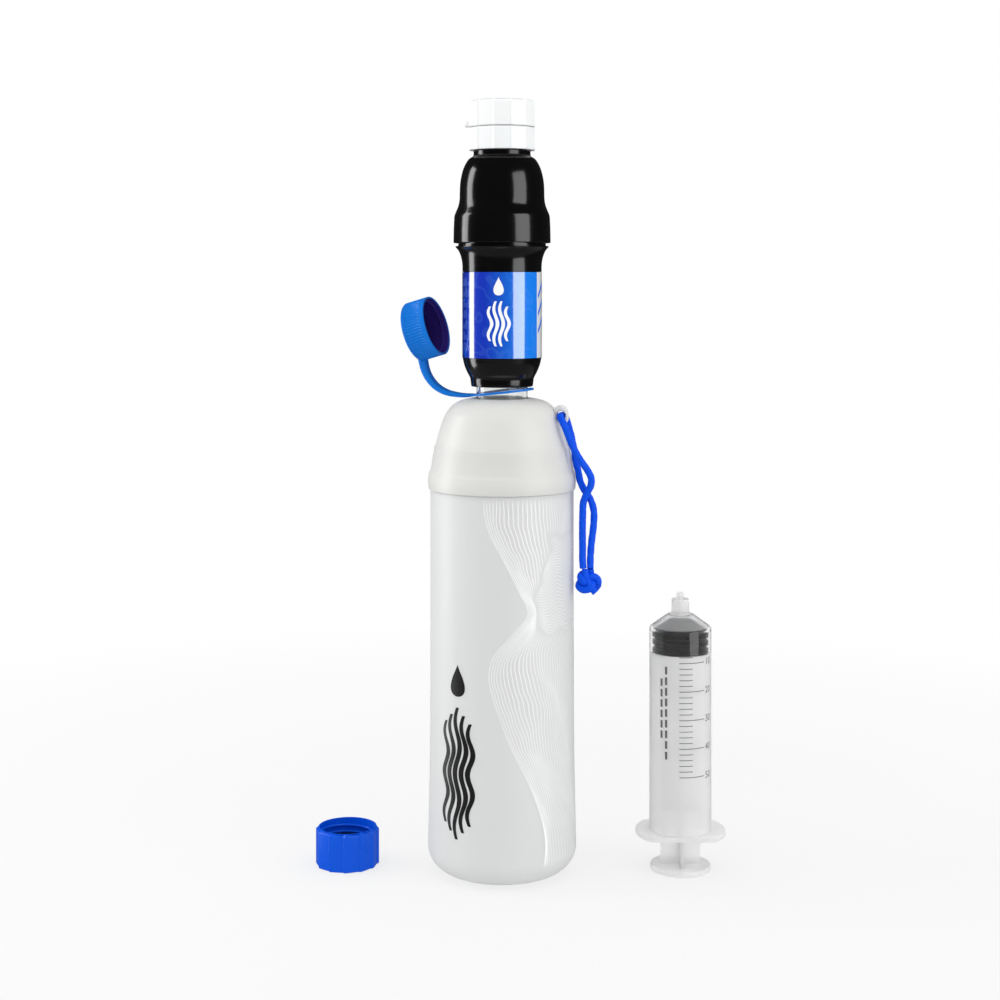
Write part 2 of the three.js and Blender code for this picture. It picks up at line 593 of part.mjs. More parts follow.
const SCHEDULE = [
  ['bottle_body', bottleBody, FROSTED],
  ['bottle_mouth', bottleMouth, FROSTED],
  ['shoulder_gasket', shoulderGasket, SEAL_GREY],
  ['bottle_shoulder', shoulder, FROSTED],
  ['neck_insert', neckInsert, CLEAR],
  ['tether_ring', tetherRing, AZURE],
  ['tether_strap', tetherStrap, AZURE],
  ['tether_cap', tetherCap, AZURE],
  ['tether_cap_liner', tetherCapLiner, RUBBER],
  ['inlet_gasket', inletGasket, SEAL_GREY],
  ['lower_housing', lowerHousing, BLACK],
  ['filter_label', filterLabel, ROYAL],
  ['housing_o_ring', housingORing, RUBBER],
  ['fibre_bundle', fibreBundle, FIBRE],
  ['potting_disc', pottingDisc, FIBRE],
  ['upper_housing', upperHousing, BLACK],
  ['outlet_neck', outletNeck, BLACK],
  ['outlet_gasket', outletGasket, SEAL_GREY],
  ['spout_cap', spoutCap, WHITE],
  ['spout_nozzle', spoutNozzle, WHITE],
  ['dust_cap', dustCap, WHITE],
  ['lanyard_strand_front', () => strand(FRONT_STRAND), CORD_BLUE],
  ['lanyard_strand_rear', () => strand(REAR_STRAND), CORD_BLUE],
  ['lanyard_knot', lanyardKnot, CORD_BLUE],
  ['plunger_rod', plungerRod, CLEAR],
  ['plunger_seal', plungerSeal, RUBBER],
  ['syringe_barrel', syringeBarrel, CLEAR],
  ['cleaning_coupling', cleaningCoupling, ROYAL],
  ['coupling_washer', couplingWasher, RUBBER],
];

const waterFilter = new THREE.Group();
for (const [name, make, material] of SCHEDULE) {
  const mesh = new THREE.Mesh(geometryOf(make()), material);
  mesh.name = name;
  waterFilter.add(mesh);
}

export default waterFilter;
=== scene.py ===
"""Looks for the squeeze-bottle water filter: skins, print, cord and lights round the frame."""
import json
import math

import bmesh
import bpy
from mathutils import Matrix, Vector, noise
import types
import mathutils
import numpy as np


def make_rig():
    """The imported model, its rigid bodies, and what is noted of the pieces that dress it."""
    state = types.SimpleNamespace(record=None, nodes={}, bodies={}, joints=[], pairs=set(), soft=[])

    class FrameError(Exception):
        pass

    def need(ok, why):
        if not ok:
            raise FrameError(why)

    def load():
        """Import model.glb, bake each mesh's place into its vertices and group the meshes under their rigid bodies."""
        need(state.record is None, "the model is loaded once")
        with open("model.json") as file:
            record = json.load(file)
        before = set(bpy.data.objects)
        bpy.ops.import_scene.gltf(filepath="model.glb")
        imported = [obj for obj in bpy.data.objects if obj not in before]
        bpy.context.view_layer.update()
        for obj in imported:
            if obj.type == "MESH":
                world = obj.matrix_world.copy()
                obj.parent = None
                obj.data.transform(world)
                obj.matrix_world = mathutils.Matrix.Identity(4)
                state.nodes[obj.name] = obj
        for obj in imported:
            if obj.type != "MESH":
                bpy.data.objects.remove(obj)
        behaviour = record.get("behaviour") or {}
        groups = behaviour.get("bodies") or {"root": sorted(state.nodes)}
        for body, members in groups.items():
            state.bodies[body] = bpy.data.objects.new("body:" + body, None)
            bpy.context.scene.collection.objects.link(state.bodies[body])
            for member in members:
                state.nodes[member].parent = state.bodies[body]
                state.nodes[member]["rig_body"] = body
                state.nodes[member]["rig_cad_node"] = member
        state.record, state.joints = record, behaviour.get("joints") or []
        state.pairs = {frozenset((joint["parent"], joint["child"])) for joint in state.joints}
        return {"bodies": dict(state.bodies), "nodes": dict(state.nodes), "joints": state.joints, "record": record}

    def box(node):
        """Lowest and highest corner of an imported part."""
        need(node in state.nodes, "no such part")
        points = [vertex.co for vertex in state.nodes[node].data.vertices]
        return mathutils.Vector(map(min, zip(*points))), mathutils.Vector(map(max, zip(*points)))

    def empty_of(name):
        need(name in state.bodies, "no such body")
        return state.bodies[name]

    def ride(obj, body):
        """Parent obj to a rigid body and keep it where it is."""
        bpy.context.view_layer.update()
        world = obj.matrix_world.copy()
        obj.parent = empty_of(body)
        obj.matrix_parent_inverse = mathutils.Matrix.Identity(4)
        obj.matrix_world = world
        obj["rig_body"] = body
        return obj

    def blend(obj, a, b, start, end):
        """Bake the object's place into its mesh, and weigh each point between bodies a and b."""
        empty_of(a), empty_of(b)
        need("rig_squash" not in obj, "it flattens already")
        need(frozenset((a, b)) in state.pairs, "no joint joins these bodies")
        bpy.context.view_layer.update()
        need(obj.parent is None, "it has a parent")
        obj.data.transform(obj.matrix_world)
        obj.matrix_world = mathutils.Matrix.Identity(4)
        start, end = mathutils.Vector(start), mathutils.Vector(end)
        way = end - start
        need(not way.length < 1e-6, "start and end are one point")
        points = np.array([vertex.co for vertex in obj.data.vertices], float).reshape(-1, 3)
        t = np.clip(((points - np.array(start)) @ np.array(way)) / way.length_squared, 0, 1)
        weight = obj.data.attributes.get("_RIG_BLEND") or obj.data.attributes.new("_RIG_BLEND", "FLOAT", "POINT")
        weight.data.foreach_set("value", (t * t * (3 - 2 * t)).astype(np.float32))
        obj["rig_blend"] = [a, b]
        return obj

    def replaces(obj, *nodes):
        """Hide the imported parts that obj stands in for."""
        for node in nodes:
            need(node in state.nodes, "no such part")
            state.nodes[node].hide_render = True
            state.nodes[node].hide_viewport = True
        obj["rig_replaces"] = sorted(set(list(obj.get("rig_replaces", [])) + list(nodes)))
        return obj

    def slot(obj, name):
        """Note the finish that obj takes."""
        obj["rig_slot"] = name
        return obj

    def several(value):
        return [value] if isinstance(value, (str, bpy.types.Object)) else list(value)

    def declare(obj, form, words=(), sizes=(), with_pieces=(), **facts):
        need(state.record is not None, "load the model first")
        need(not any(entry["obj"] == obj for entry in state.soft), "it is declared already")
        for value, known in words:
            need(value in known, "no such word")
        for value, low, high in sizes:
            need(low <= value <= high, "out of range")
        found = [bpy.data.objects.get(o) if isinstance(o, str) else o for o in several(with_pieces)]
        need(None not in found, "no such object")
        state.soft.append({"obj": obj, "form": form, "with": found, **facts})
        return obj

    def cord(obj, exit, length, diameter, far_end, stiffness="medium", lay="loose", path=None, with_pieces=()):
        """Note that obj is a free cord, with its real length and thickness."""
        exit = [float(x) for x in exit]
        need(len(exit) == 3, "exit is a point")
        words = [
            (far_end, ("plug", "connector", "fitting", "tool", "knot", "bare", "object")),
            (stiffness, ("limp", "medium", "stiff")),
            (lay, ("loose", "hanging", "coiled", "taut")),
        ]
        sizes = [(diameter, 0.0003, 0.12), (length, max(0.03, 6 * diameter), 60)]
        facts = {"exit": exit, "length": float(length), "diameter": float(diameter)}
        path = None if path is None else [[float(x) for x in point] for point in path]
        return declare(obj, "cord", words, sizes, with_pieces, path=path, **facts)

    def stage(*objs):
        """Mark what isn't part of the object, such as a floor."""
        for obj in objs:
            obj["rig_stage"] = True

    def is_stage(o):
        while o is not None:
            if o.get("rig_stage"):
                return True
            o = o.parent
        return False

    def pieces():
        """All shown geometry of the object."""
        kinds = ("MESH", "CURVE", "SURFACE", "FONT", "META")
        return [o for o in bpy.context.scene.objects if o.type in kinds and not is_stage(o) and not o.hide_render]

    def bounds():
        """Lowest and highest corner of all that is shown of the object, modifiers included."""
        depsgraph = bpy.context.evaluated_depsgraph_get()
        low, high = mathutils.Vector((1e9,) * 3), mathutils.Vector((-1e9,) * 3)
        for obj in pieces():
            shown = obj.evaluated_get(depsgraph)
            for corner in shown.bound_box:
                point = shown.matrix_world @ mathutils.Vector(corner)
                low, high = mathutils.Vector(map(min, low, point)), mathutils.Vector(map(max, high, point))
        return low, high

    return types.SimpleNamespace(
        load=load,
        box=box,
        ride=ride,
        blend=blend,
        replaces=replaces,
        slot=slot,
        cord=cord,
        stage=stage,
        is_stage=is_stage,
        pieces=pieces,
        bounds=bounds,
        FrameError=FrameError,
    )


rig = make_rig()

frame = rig.load()
cad_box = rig.bounds()

MM = 0.001
FINE = 144      # sides round a large smooth piece
MEDIUM = 96     # sides round a small smooth piece


# ---------------------------------------------------------------- places from the frame (mm)
def low(node):
    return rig.box(node)[0].z / MM


def high(node):
    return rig.box(node)[1].z / MM


def centre(node):
    a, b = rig.box(node)
    return (a + b) / 2


GAP = 0.3
NECK_ROOT = 12.45
SOCKET_BORE = 14.0
LEAD = 3.2
BEAD = 0.65
BOTTLE_LEAD = 4.0
BOTTLE_BEAD = 0.8

MOUTH = high("bottle_mouth")
RIM = low("bottle_shoulder")
DOME_TOP = 229.4
NECK_TOP = high("neck_insert")
INLET = low("lower_housing")
LABEL_LOW = low("filter_label")
LABEL_HIGH = high("filter_label")
LABEL_RADIUS = 19.4
SPIGOT_TOP = high("lower_housing")
COLLAR = low("upper_housing")
OUTLET_TOP = high("outlet_neck")
SPOUT_LOW = low("spout_cap")
SPOUT_HIGH = 361.2
COVER_LOW = low("dust_cap")
COVER_HIGH = high("dust_cap")
COVER_RADIUS = 16.8
BARREL_LOW = low("syringe_barrel")
BARREL_TIP = high("syringe_barrel")
BARREL_AT = centre("plunger_seal")
COUPLING_AT = centre("coupling_washer")
COUPLING_HIGH = high("cleaning_coupling")

TETHER_AZIMUTH = math.radians(159.5)
LUG_AZIMUTH = math.radians(-15)


# ---------------------------------------------------------------- mesh helpers
def linked(name, data):
    """A new object in the scene."""
    made = bpy.data.objects.new(name, data)
    bpy.context.scene.collection.objects.link(made)
    return made


def from_work(name, work):
    """A new object made of a bmesh, which is freed."""
    mesh = bpy.data.meshes.new(name)
    work.to_mesh(mesh)
    work.free()
    return linked(name, mesh)


def add_object(name, vertices, faces, crease=38):
    mesh = bpy.data.meshes.new(name)
    mesh.from_pydata([Vector(v) * MM for v in vertices], [], faces)
    mesh.validate()
    made = linked(name, mesh)
    shade(made, crease)
    return made


def shade(piece, crease):
    """Smooth shading, broken where faces meet at more than the crease angle."""
    work = bmesh.new()
    work.from_mesh(piece.data)
    bmesh.ops.remove_doubles(work, verts=work.verts, dist=1e-7)
    bmesh.ops.recalc_face_normals(work, faces=work.faces)
    limit = math.radians(crease)
    for face in work.faces:
        face.smooth = True
    for edge in work.edges:
        if len(edge.link_faces) == 2:
            edge.smooth = edge.calc_face_angle(0) < limit
    work.to_mesh(piece.data)
    work.free()


def filleted(outline, closed):
    """Rounds each corner (r, z, fillet) of an outline with a short curve."""
    count = len(outline)
    result = []
    for i, corner in enumerate(outline):
        fillet = corner[2] if len(corner) > 2 else 0
        here = Vector(corner[:2])
        inner = closed or 0 < i < count - 1
        if not fillet or not inner:
            result.append(here)
            continue
        before = Vector(outline[i - 1][:2]) - here
        after = Vector(outline[(i + 1) % count][:2]) - here
        start = here + before.normalized() * min(fillet, before.length * 0.49)
        end = here + after.normalized() * min(fillet, after.length * 0.49)
        steps = 4 if fillet < 1.5 else 8
        for k in range(steps + 1):
            t = k / steps
            result.append(start * (1 - t) ** 2 + here * 2 * t * (1 - t) + end * t * t)
    return result


def revolve(name, outline, sides=FINE, closed=False, ripple=None, crease=38):
    """A turned piece about Z. ripple(angle, r, z) gives the radius where the piece isn't round."""
    points = filleted(outline, closed)
    vertices, rings, faces = [], [], []
    for r, z in points:
        if r < 1e-6:
            rings.append([len(vertices)] * sides)
            vertices.append((0, 0, z))
            continue
        start = len(vertices)
        for k in range(sides):
            angle = 2 * math.pi * k / sides
            radius = ripple(angle, r, z) if ripple else r
            vertices.append((radius * math.cos(angle), radius * math.sin(angle), z))
        rings.append(range(start, start + sides))
    pairs = list(zip(rings, rings[1:]))
    if closed:
        pairs.append((rings[-1], rings[0]))
    for lower, upper in pairs:
        for k in range(sides):
            after = (k + 1) % sides
            face = [lower[k], lower[after], upper[after], upper[k]]
            unique = list(dict.fromkeys(face))
            if len(unique) > 2:
                faces.append(unique)
    return add_object(name, vertices, faces, crease)


def frames_along(points, closed=False):
    """Tangents and a steady pair of cross directions along a line."""
    count = len(points)
    tangents = []
    for i in range(count):
        after = points[(i + 1) % count] if closed or i + 1 < count else points[i]
        before = points[i - 1] if closed or i else points[i]
        tangents.append((after - before).normalized())
    side = tangents[0].orthogonal().normalized()
    result = []
    for i, tangent in enumerate(tangents):
        if i:
            turn = tangents[i - 1].rotation_difference(tangent)
            side = turn @ side
            side = (side - tangent * side.dot(tangent)).normalized()
        result.append((tangent, side, tangent.cross(side)))
    return result


def tunnel(faces, rings, sides, closed=False):
    """Faces round a row of rings, with ends unless the row closes on itself."""
    for i in range(rings if closed else rings - 1):
        here, there = i * sides, (i + 1) % rings * sides
        for k in range(sides):
            after = (k + 1) % sides
            faces.append([here + k, here + after, there + after, there + k])
    if not closed:
        faces.append(list(range(sides))[::-1])
        faces.append(list(range((rings - 1) * sides, rings * sides)))


def tube(name, points, radius, sides=16, closed=False, crease=60):
    """A tube along a line; radius is a number or a function of (distance in mm, angle)."""
    points = [Vector(p) for p in points]
    frames = frames_along(points, closed)
    vertices, faces, along = [], [], 0.0
    for i, point in enumerate(points):
        if i:
            along += (point - points[i - 1]).length
        for k in range(sides):
            angle = 2 * math.pi * k / sides
            reach = radius(along, angle) if callable(radius) else radius
            offset = frames[i][1] * math.cos(angle) + frames[i][2] * math.sin(angle)
            vertices.append(point + offset * reach)
    tunnel(faces, len(points), sides, closed)
    return add_object(name, vertices, faces, crease)


def smooth_line(points, per_span=8):
    """Centripetal Catmull-Rom through given points."""
    points = [Vector(p) for p in points]
    ends = [points[0] * 2 - points[1], *points, points[-1] * 2 - points[-2]]
    line = []
    for i in range(1, len(ends) - 2):
        p0, p1, p2, p3 = ends[i - 1:i + 3]
        t0 = 0.0
        t1 = t0 + max((p1 - p0).length, 1e-6) ** 0.5
        t2 = t1 + max((p2 - p1).length, 1e-6) ** 0.5
        t3 = t2 + max((p3 - p2).length, 1e-6) ** 0.5
        for k in range(per_span):
            t = t1 + (t2 - t1) * k / per_span
            a1 = p0 * ((t1 - t) / (t1 - t0)) + p1 * ((t - t0) / (t1 - t0))
            a2 = p1 * ((t2 - t) / (t2 - t1)) + p2 * ((t - t1) / (t2 - t1))
            a3 = p2 * ((t3 - t) / (t3 - t2)) + p3 * ((t - t2) / (t3 - t2))
            b1 = a1 * ((t2 - t) / (t2 - t0)) + a2 * ((t - t0) / (t2 - t0))
            b2 = a2 * ((t3 - t) / (t3 - t1)) + a3 * ((t - t1) / (t3 - t1))
            line.append(b1 * ((t2 - t) / (t2 - t1)) + b2 * ((t - t1) / (t2 - t1)))
    return [*line, points[-1]]


def thread(name, radius, start, turns, lead=LEAD, bead=BEAD):
    """A raised helical bead whose ends taper away."""
    steps = int(64 * turns)
    points = []
    for i in range(steps + 1):
        angle = 2 * math.pi * turns * i / steps
        height = start + lead * turns * i / steps
        points.append((radius * math.cos(angle), radius * math.sin(angle), height))
    length = 2 * math.pi * radius * turns
    taper = 5.0     # mm at each end

    def reach(along, _):
        ease = min(1.0, along / taper, (length - along) / taper)
        return bead * max(0.25, math.sqrt(max(ease, 0.0)))

    return tube(name, points, reach, 10)


def join(name, *pieces):
    """One object made of several meshes."""
    first = pieces[0]
    work = bmesh.new()
    for piece in pieces:
        piece.data.transform(piece.matrix_world)
        work.from_mesh(piece.data)
    work.to_mesh(first.data)
    work.free()
    for piece in pieces[1:]:
        bpy.data.objects.remove(piece)
    first.matrix_world = Matrix.Identity(4)
    first.name = name
    first.data.name = name
    return first


def move(piece, matrix):
    piece.data.transform(matrix)
    return piece


def shift(x, y, z=0):
    return Matrix.Translation(Vector((x, y, z)))


def boxed(name, size, at, bevel=0.3, segments=3):
    """A block with rounded edges, sizes in mm."""
    work = bmesh.new()
    bmesh.ops.create_cube(work, size=1)
    bmesh.ops.scale(work, vec=Vector(size) * MM, verts=work.verts)
    bmesh.ops.translate(work, vec=Vector(at) * MM, verts=work.verts)
    bmesh.ops.bevel(
        work, geom=list(work.edges), offset=bevel * MM, segments=segments, profile=0.5, affect="EDGES"
    )
    made = from_work(name, work)
    shade(made, 50)
    return made


def flat_patch(name, outlines, wrap, cell=1.0, rise=None):
    """Flat outlines (lists of (across, up) in mm), cut into small cells and wrapped by wrap(across, up)."""
    work = bmesh.new()
    for outline in outlines:
        corners = [work.verts.new((x, y, 0)) for x, y in outline]
        work.faces.new(corners)
    bmesh.ops.triangulate(work, faces=list(work.faces))
    for axis, step in ((0, cell), (1, rise)):
        if not step:
            continue
        normal = Vector((axis == 0, axis == 1, 0))
        highest = max(v.co[axis] for v in work.verts)
        cut = math.ceil(min(v.co[axis] for v in work.verts) / step) * step
        while cut < highest:
            geometry = list(work.verts) + list(work.edges) + list(work.faces)
            bmesh.ops.bisect_plane(work, geom=geometry, plane_co=normal * cut, plane_no=normal, dist=1e-5)
            cut += step
    for vertex in work.verts:
        vertex.co = Vector(wrap(vertex.co.x, vertex.co.y)) * MM
    made = from_work(name, work)
    for face in made.data.polygons:
        face.use_smooth = True
    return made


def round_wall(radius, azimuth, at=(0, 0)):
    """Wraps (across, up) round a standing cylinder; azimuth 0 faces -Y and grows towards +X."""
    def wrap(across, up):
        angle = math.radians(azimuth) + across / radius
        return (at[0] + radius * math.sin(angle), at[1] - radius * math.cos(angle), up)
    return wrap


# ---------------------------------------------------------------- material helpers
class Nodes:
    """A small writer of node trees."""

    def __init__(self, name):
        self.material = bpy.data.materials.new(name)
        self.material.use_nodes = True
        self.tree = self.material.node_tree
        self.shader = self.tree.nodes["Principled BSDF"]

    def add(self, kind, **settings):
        node = self.tree.nodes.new(kind)
        for key, value in settings.items():
            setattr(node, key, value)
        return node

    def link(self, out, into):
        self.tree.links.new(out, into)

    def set(self, **values):
        names = {
            "color": "Base Color", "rough": "Roughness", "metal": "Metallic", "ior": "IOR",
            "clear": "Transmission Weight", "under": "Subsurface Weight", "coat": "Coat Weight",
            "coat_rough": "Coat Roughness", "sheen": "Sheen Weight", "specular": "Specular IOR Level",
            "alpha": "Alpha", "sheen_rough": "Sheen Roughness",
        }
        for key, value in values.items():
            self.shader.inputs[names[key]].default_value = value
        return self

    def place(self):
        return self.add("ShaderNodeTexCoord").outputs["Object"]

    def math(self, operation, a, b=None, clamp=False):
        node = self.add("ShaderNodeMath", operation=operation, use_clamp=clamp)
        for socket, value in zip(node.inputs, (a, b)):
            if value is None:
                continue
            if isinstance(value, (int, float)):
                socket.default_value = value
            else:
                self.link(value, socket)
        return node.outputs[0]

    def noise(self, scale, detail=3.0, vector=None, rough=0.5):
        node = self.add("ShaderNodeTexNoise")
        node.inputs["Scale"].default_value = scale
        node.inputs["Detail"].default_value = detail
        node.inputs["Roughness"].default_value = rough
        self.link(vector or self.place(), node.inputs["Vector"])
        return node.outputs["Fac"]

    def stretched(self, factors):
        node = self.add("ShaderNodeMapping")
        node.inputs["Scale"].default_value = factors
        self.link(self.place(), node.inputs["Vector"])
        return node.outputs[0]

    def mix(self, factor, a, b):
        node = self.add("ShaderNodeMix", data_type="RGBA")
        for socket, value in ((node.inputs[0], factor), (node.inputs[6], a), (node.inputs[7], b)):
            if isinstance(value, (tuple, list, float, int)):
                socket.default_value = value
            else:
                self.link(value, socket)
        return node.outputs[2]

    def span(self, value, from_low, from_high, to_low=0.0, to_high=1.0):
        node = self.add("ShaderNodeMapRange")
        for index, number in enumerate((from_low, from_high, to_low, to_high), start=1):
            node.inputs[index].default_value = number
        self.link(value, node.inputs[0])
        return node.outputs[0]

    def bump(self, height, strength=0.2, distance=0.0002):
        node = self.add("ShaderNodeBump")
        node.inputs["Strength"].default_value = strength
        node.inputs["Distance"].default_value = distance
        self.link(height, node.inputs["Height"])
        self.link(node.outputs[0], self.shader.inputs["Normal"])
        return self

    def vary(self, color, amount=0.06, scale=60):
        """Mottles the colour a little and varies the roughness with it."""
        patch = self.noise(scale, 4)
        dark = tuple(c * (1 - amount) for c in color[:3]) + (1,)
        light = tuple(min(1, c * (1 + amount)) for c in color[:3]) + (1,)
        self.link(self.mix(patch, dark, light), self.shader.inputs["Base Color"])
        return patch


def moulded(name, color, rough, grain=0.05, scale=900, mottle=0.05, **more):
    """Injection-moulded plastic: slight mottling, varied gloss and a fine grain."""
    n = Nodes(name)
    n.set(rough=rough, **more)
    patch = n.vary((*color, 1), mottle)
    n.link(n.span(patch, 0.3, 0.7, rough * 0.9, rough * 1.12), n.shader.inputs["Roughness"])
    n.bump(n.noise(scale, 2), grain, 0.0001)
    return n.material


def frosted(name, color, rough, clear, under):
    """Translucent squeeze-bottle plastic with soft cloudiness."""
    n = Nodes(name)
    n.set(rough=rough, clear=clear, under=under, ior=1.35, sheen=0.3, sheen_rough=0.35)
    n.shader.inputs["Subsurface Radius"].default_value = (1, 1, 1)
    n.shader.inputs["Subsurface Scale"].default_value = 0.003
    cloud = n.noise(22, 3, n.stretched((1, 1, 0.45)))
    base = n.mix(n.span(cloud, 0.3, 0.7), tuple(c * 0.975 for c in color) + (1,), (*color, 1))
    n.link(base, n.shader.inputs["Base Color"])
    n.bump(n.noise(1400, 2), 0.06, 0.0001)
    return n.material


def paint_shade_inside(material, color):
    """Paints shade: deepens the colour where a mesh marks its points as inside, standing in for the shade in a hollow.
    """
    tree = material.node_tree
    socket = tree.nodes["Principled BSDF"].inputs["Base Color"]
    mark = tree.nodes.new("ShaderNodeAttribute")
    mark.attribute_name = "inside"
    blend = tree.nodes.new("ShaderNodeMix")
    blend.data_type = "RGBA"
    tree.links.new(mark.outputs["Fac"], blend.inputs[0])
    tree.links.new(socket.links[0].from_socket, blend.inputs[6])
    blend.inputs[7].default_value = color
    tree.links.new(blend.outputs[2], socket)


bottle_skin = frosted("frosted_bottle", (0.85, 0.86, 0.855), 0.42, 0.25, 0.25)
dome_skin = frosted("frosted_dome", (0.83, 0.83, 0.805), 0.36, 0.22, 0.3)
black_gloss = moulded(
    "black_housing", (0.0022, 0.0022, 0.0025), 0.16, 0.03, 500, 0.2, coat=0.25, coat_rough=0.08
)
white_satin = moulded("white_caps", (0.88, 0.88, 0.88), 0.3, 0.03, 700, 0.012, under=0.05)
azure = moulded("azure_cap", (0.0, 0.165, 0.64), 0.33, 0.06, 900, 0.08, specular=0.2)
# painted shade: dark violet where the cap's hollow falls into shade
paint_shade_inside(azure, (0.04, 0.02, 0.22, 1))
royal = moulded("royal_coupling", (0.0, 0.085, 0.68), 0.28, 0.05, 700, 0.08, specular=0.2)
rubber = moulded("black_rubber", (0.006, 0.006, 0.0065), 0.4, 0.1, 1500, 0.2, specular=0.04)
grey_rubber = moulded("grey_rubber", (0.35, 0.35, 0.35), 0.6, 0.1, 1500, 0.1)
resin = moulded("potting_resin", (0.8, 0.74, 0.58), 0.35, 0.05, 400, 0.06)
ink_black = moulded("black_ink", (0.006, 0.006, 0.007), 0.4, 0.02, 900, 0.1)
ink_white = moulded("white_ink", (0.92, 0.93, 0.95), 0.3, 0.02, 900, 0.01)
ink_grey = moulded("grey_ink", (0.12, 0.12, 0.13), 0.45, 0.02, 900, 0.1)
ink_pale = moulded("pale_ink", (0.97, 0.975, 0.98), 0.45, 0.02, 900, 0.01)
# painted shade: the black rubber liner takes the dark violet of the shade inside the blue cap
cap_inside_shade = moulded("cap_inside_shade", (0.035, 0.018, 0.18), 0.5, 0.04, 700, 0.1)
label_blue = moulded("chevron_blue", (0.004, 0.12, 0.75), 0.16, 0.02, 500, 0.05)
label_pale = moulded("rule_pale", (0.12, 0.24, 0.7), 0.16, 0.02, 500, 0.05)


def clear_plastic(name, tint, rough, clear=0.94, ior=1.42):
    """Clear or milky moulding; only the clearer grades show a faint haze."""
    n = Nodes(name)
    n.set(rough=rough, clear=clear, ior=ior, color=(*tint, 1))
    if clear > 0.6:
        n.link(n.span(n.noise(35, 3), 0.3, 0.7, rough * 0.8, rough * 1.25), n.shader.inputs["Roughness"])
        n.bump(n.noise(300, 2), 0.03, 0.0001)
    return n.material


neck_clear = clear_plastic("clear_neck", (0.97, 0.98, 0.98), 0.06)
barrel_clear = clear_plastic("syringe_clear", (1.0, 1.0, 1.0), 0.06, 1.0, 1.45)
barrel_hazy = clear_plastic("syringe_hazy", (0.96, 0.965, 0.97), 0.12, 0.84, 1.45)
barrel_milky = clear_plastic("syringe_milky", (1.0, 1.0, 1.0), 0.3, 0.58, 1.25)
rod_clear = clear_plastic("plunger_milky", (1.0, 1.0, 1.0), 0.35, 0.5, 1.25)


def fibre_material():
    n = Nodes("hollow_fibre")
    n.set(rough=0.8, sheen=0.3)
    n.vary((0.88, 0.86, 0.8, 1), 0.06, 300)
    n.bump(n.noise(800, 3, n.stretched((1, 1, 0.08))), 0.5, 0.0004)
    return n.material


def cord_material():
    """Braided polyester with a soft sheen; painted light and shade: one fine noise raises the bump and paints its high
    specks brighter and its hollows darker.
    """
    n = Nodes("blue_braid")
    n.set(rough=0.6, specular=0.12)
    # painted light and shade: the bump's high specks take the brighter blue, its hollows the darker blue
    relief_and_painted_shade = n.noise(2600, 2)
    n.link(n.mix(relief_and_painted_shade, (0.0, 0.045, 0.55, 1), (0.0, 0.11, 0.95, 1)), n.shader.inputs["Base Color"])
    n.bump(relief_and_painted_shade, 0.35, 0.0002)
    return n.material


def label_material():
    """Glossy film that runs from royal blue round to azure, with a white panel on the right."""
    n = Nodes("label_film")
    n.set(rough=0.16, coat=1.0, coat_rough=0.06, specular=0.8)
    n.shader.inputs["Coat IOR"].default_value = 2.1
    place = n.add("ShaderNodeSeparateXYZ")
    n.link(n.place(), place.inputs[0])
    x, y = place.outputs[:2]
    turn = n.math("MULTIPLY", n.math("ARCTAN2", x, n.math("MULTIPLY", y, -1.0)), 180 / math.pi)
    sweep = n.span(turn, -25.0, 38.0)
    blue = n.mix(sweep, (0.0015, 0.034, 0.52, 1), (0.0, 0.22, 0.93, 1))
    darker = n.span(turn, -90.0, -52.0)
    blue = n.mix(darker, (0.001, 0.018, 0.2, 1), blue)
    back = n.math("GREATER_THAN", n.math("ABSOLUTE", turn), 100.0)
    blue = n.mix(back, blue, (0.0015, 0.05, 0.55, 1))
    ripple = n.math("FRACT", n.math("MULTIPLY", n.noise(38, 2), 9.0))
    contour = n.span(n.math("ABSOLUTE", n.math("SUBTRACT", ripple, 0.5)), 0.06, 0.12, 0.05, 0.0)
    blue = n.mix(contour, blue, (0.25, 0.55, 1.0, 1))
    panel = n.math("MULTIPLY", n.math("GREATER_THAN", turn, 60.0), n.math("LESS_THAN", turn, 112.0))
    n.link(n.mix(panel, blue, (0.85, 0.88, 0.92, 1)), n.shader.inputs["Base Color"])
    n.bump(n.noise(200, 2), 0.02, 0.0001)
    return n.material


fibre = fibre_material()
braid = cord_material()
label_film = label_material()


def dress(piece, material, body, slot, *nodes):
    """Gives a new piece its material, body, slot and the CAD nodes that it stands for."""
    piece.data.materials.clear()
    piece.data.materials.append(material)
    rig.ride(piece, body)
    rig.slot(piece, slot)
    if nodes:
        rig.replaces(piece, *nodes)
    return piece


def repaint(node, material):
    """A CAD node whose shape is right keeps its mesh and takes a better material."""
    data = frame["nodes"][node].data
    if not data.materials:
        data.materials.append(material)
    for index in range(len(data.materials)):
        data.materials[index] = material


# ---------------------------------------------------------------- camera
CAMERA_DISTANCE = 0.87
CAMERA_HEIGHT = 0.287
VIEW_WIDTH = 0.488      # at the object's axis
SENSOR = 36
SHIFT_DOWN = 0.22       # the lens is level and shifted, so that uprights stay parallel

camera_data = bpy.data.cameras.new("camera")
camera = linked("camera", camera_data)
camera_data.sensor_width = SENSOR
camera_data.lens = SENSOR * CAMERA_DISTANCE / VIEW_WIDTH
camera_data.shift_y = -SHIFT_DOWN
camera.location = (-0.001, -CAMERA_DISTANCE, CAMERA_HEIGHT)
camera.rotation_euler = (math.pi / 2, 0, 0)
bpy.context.scene.camera = camera


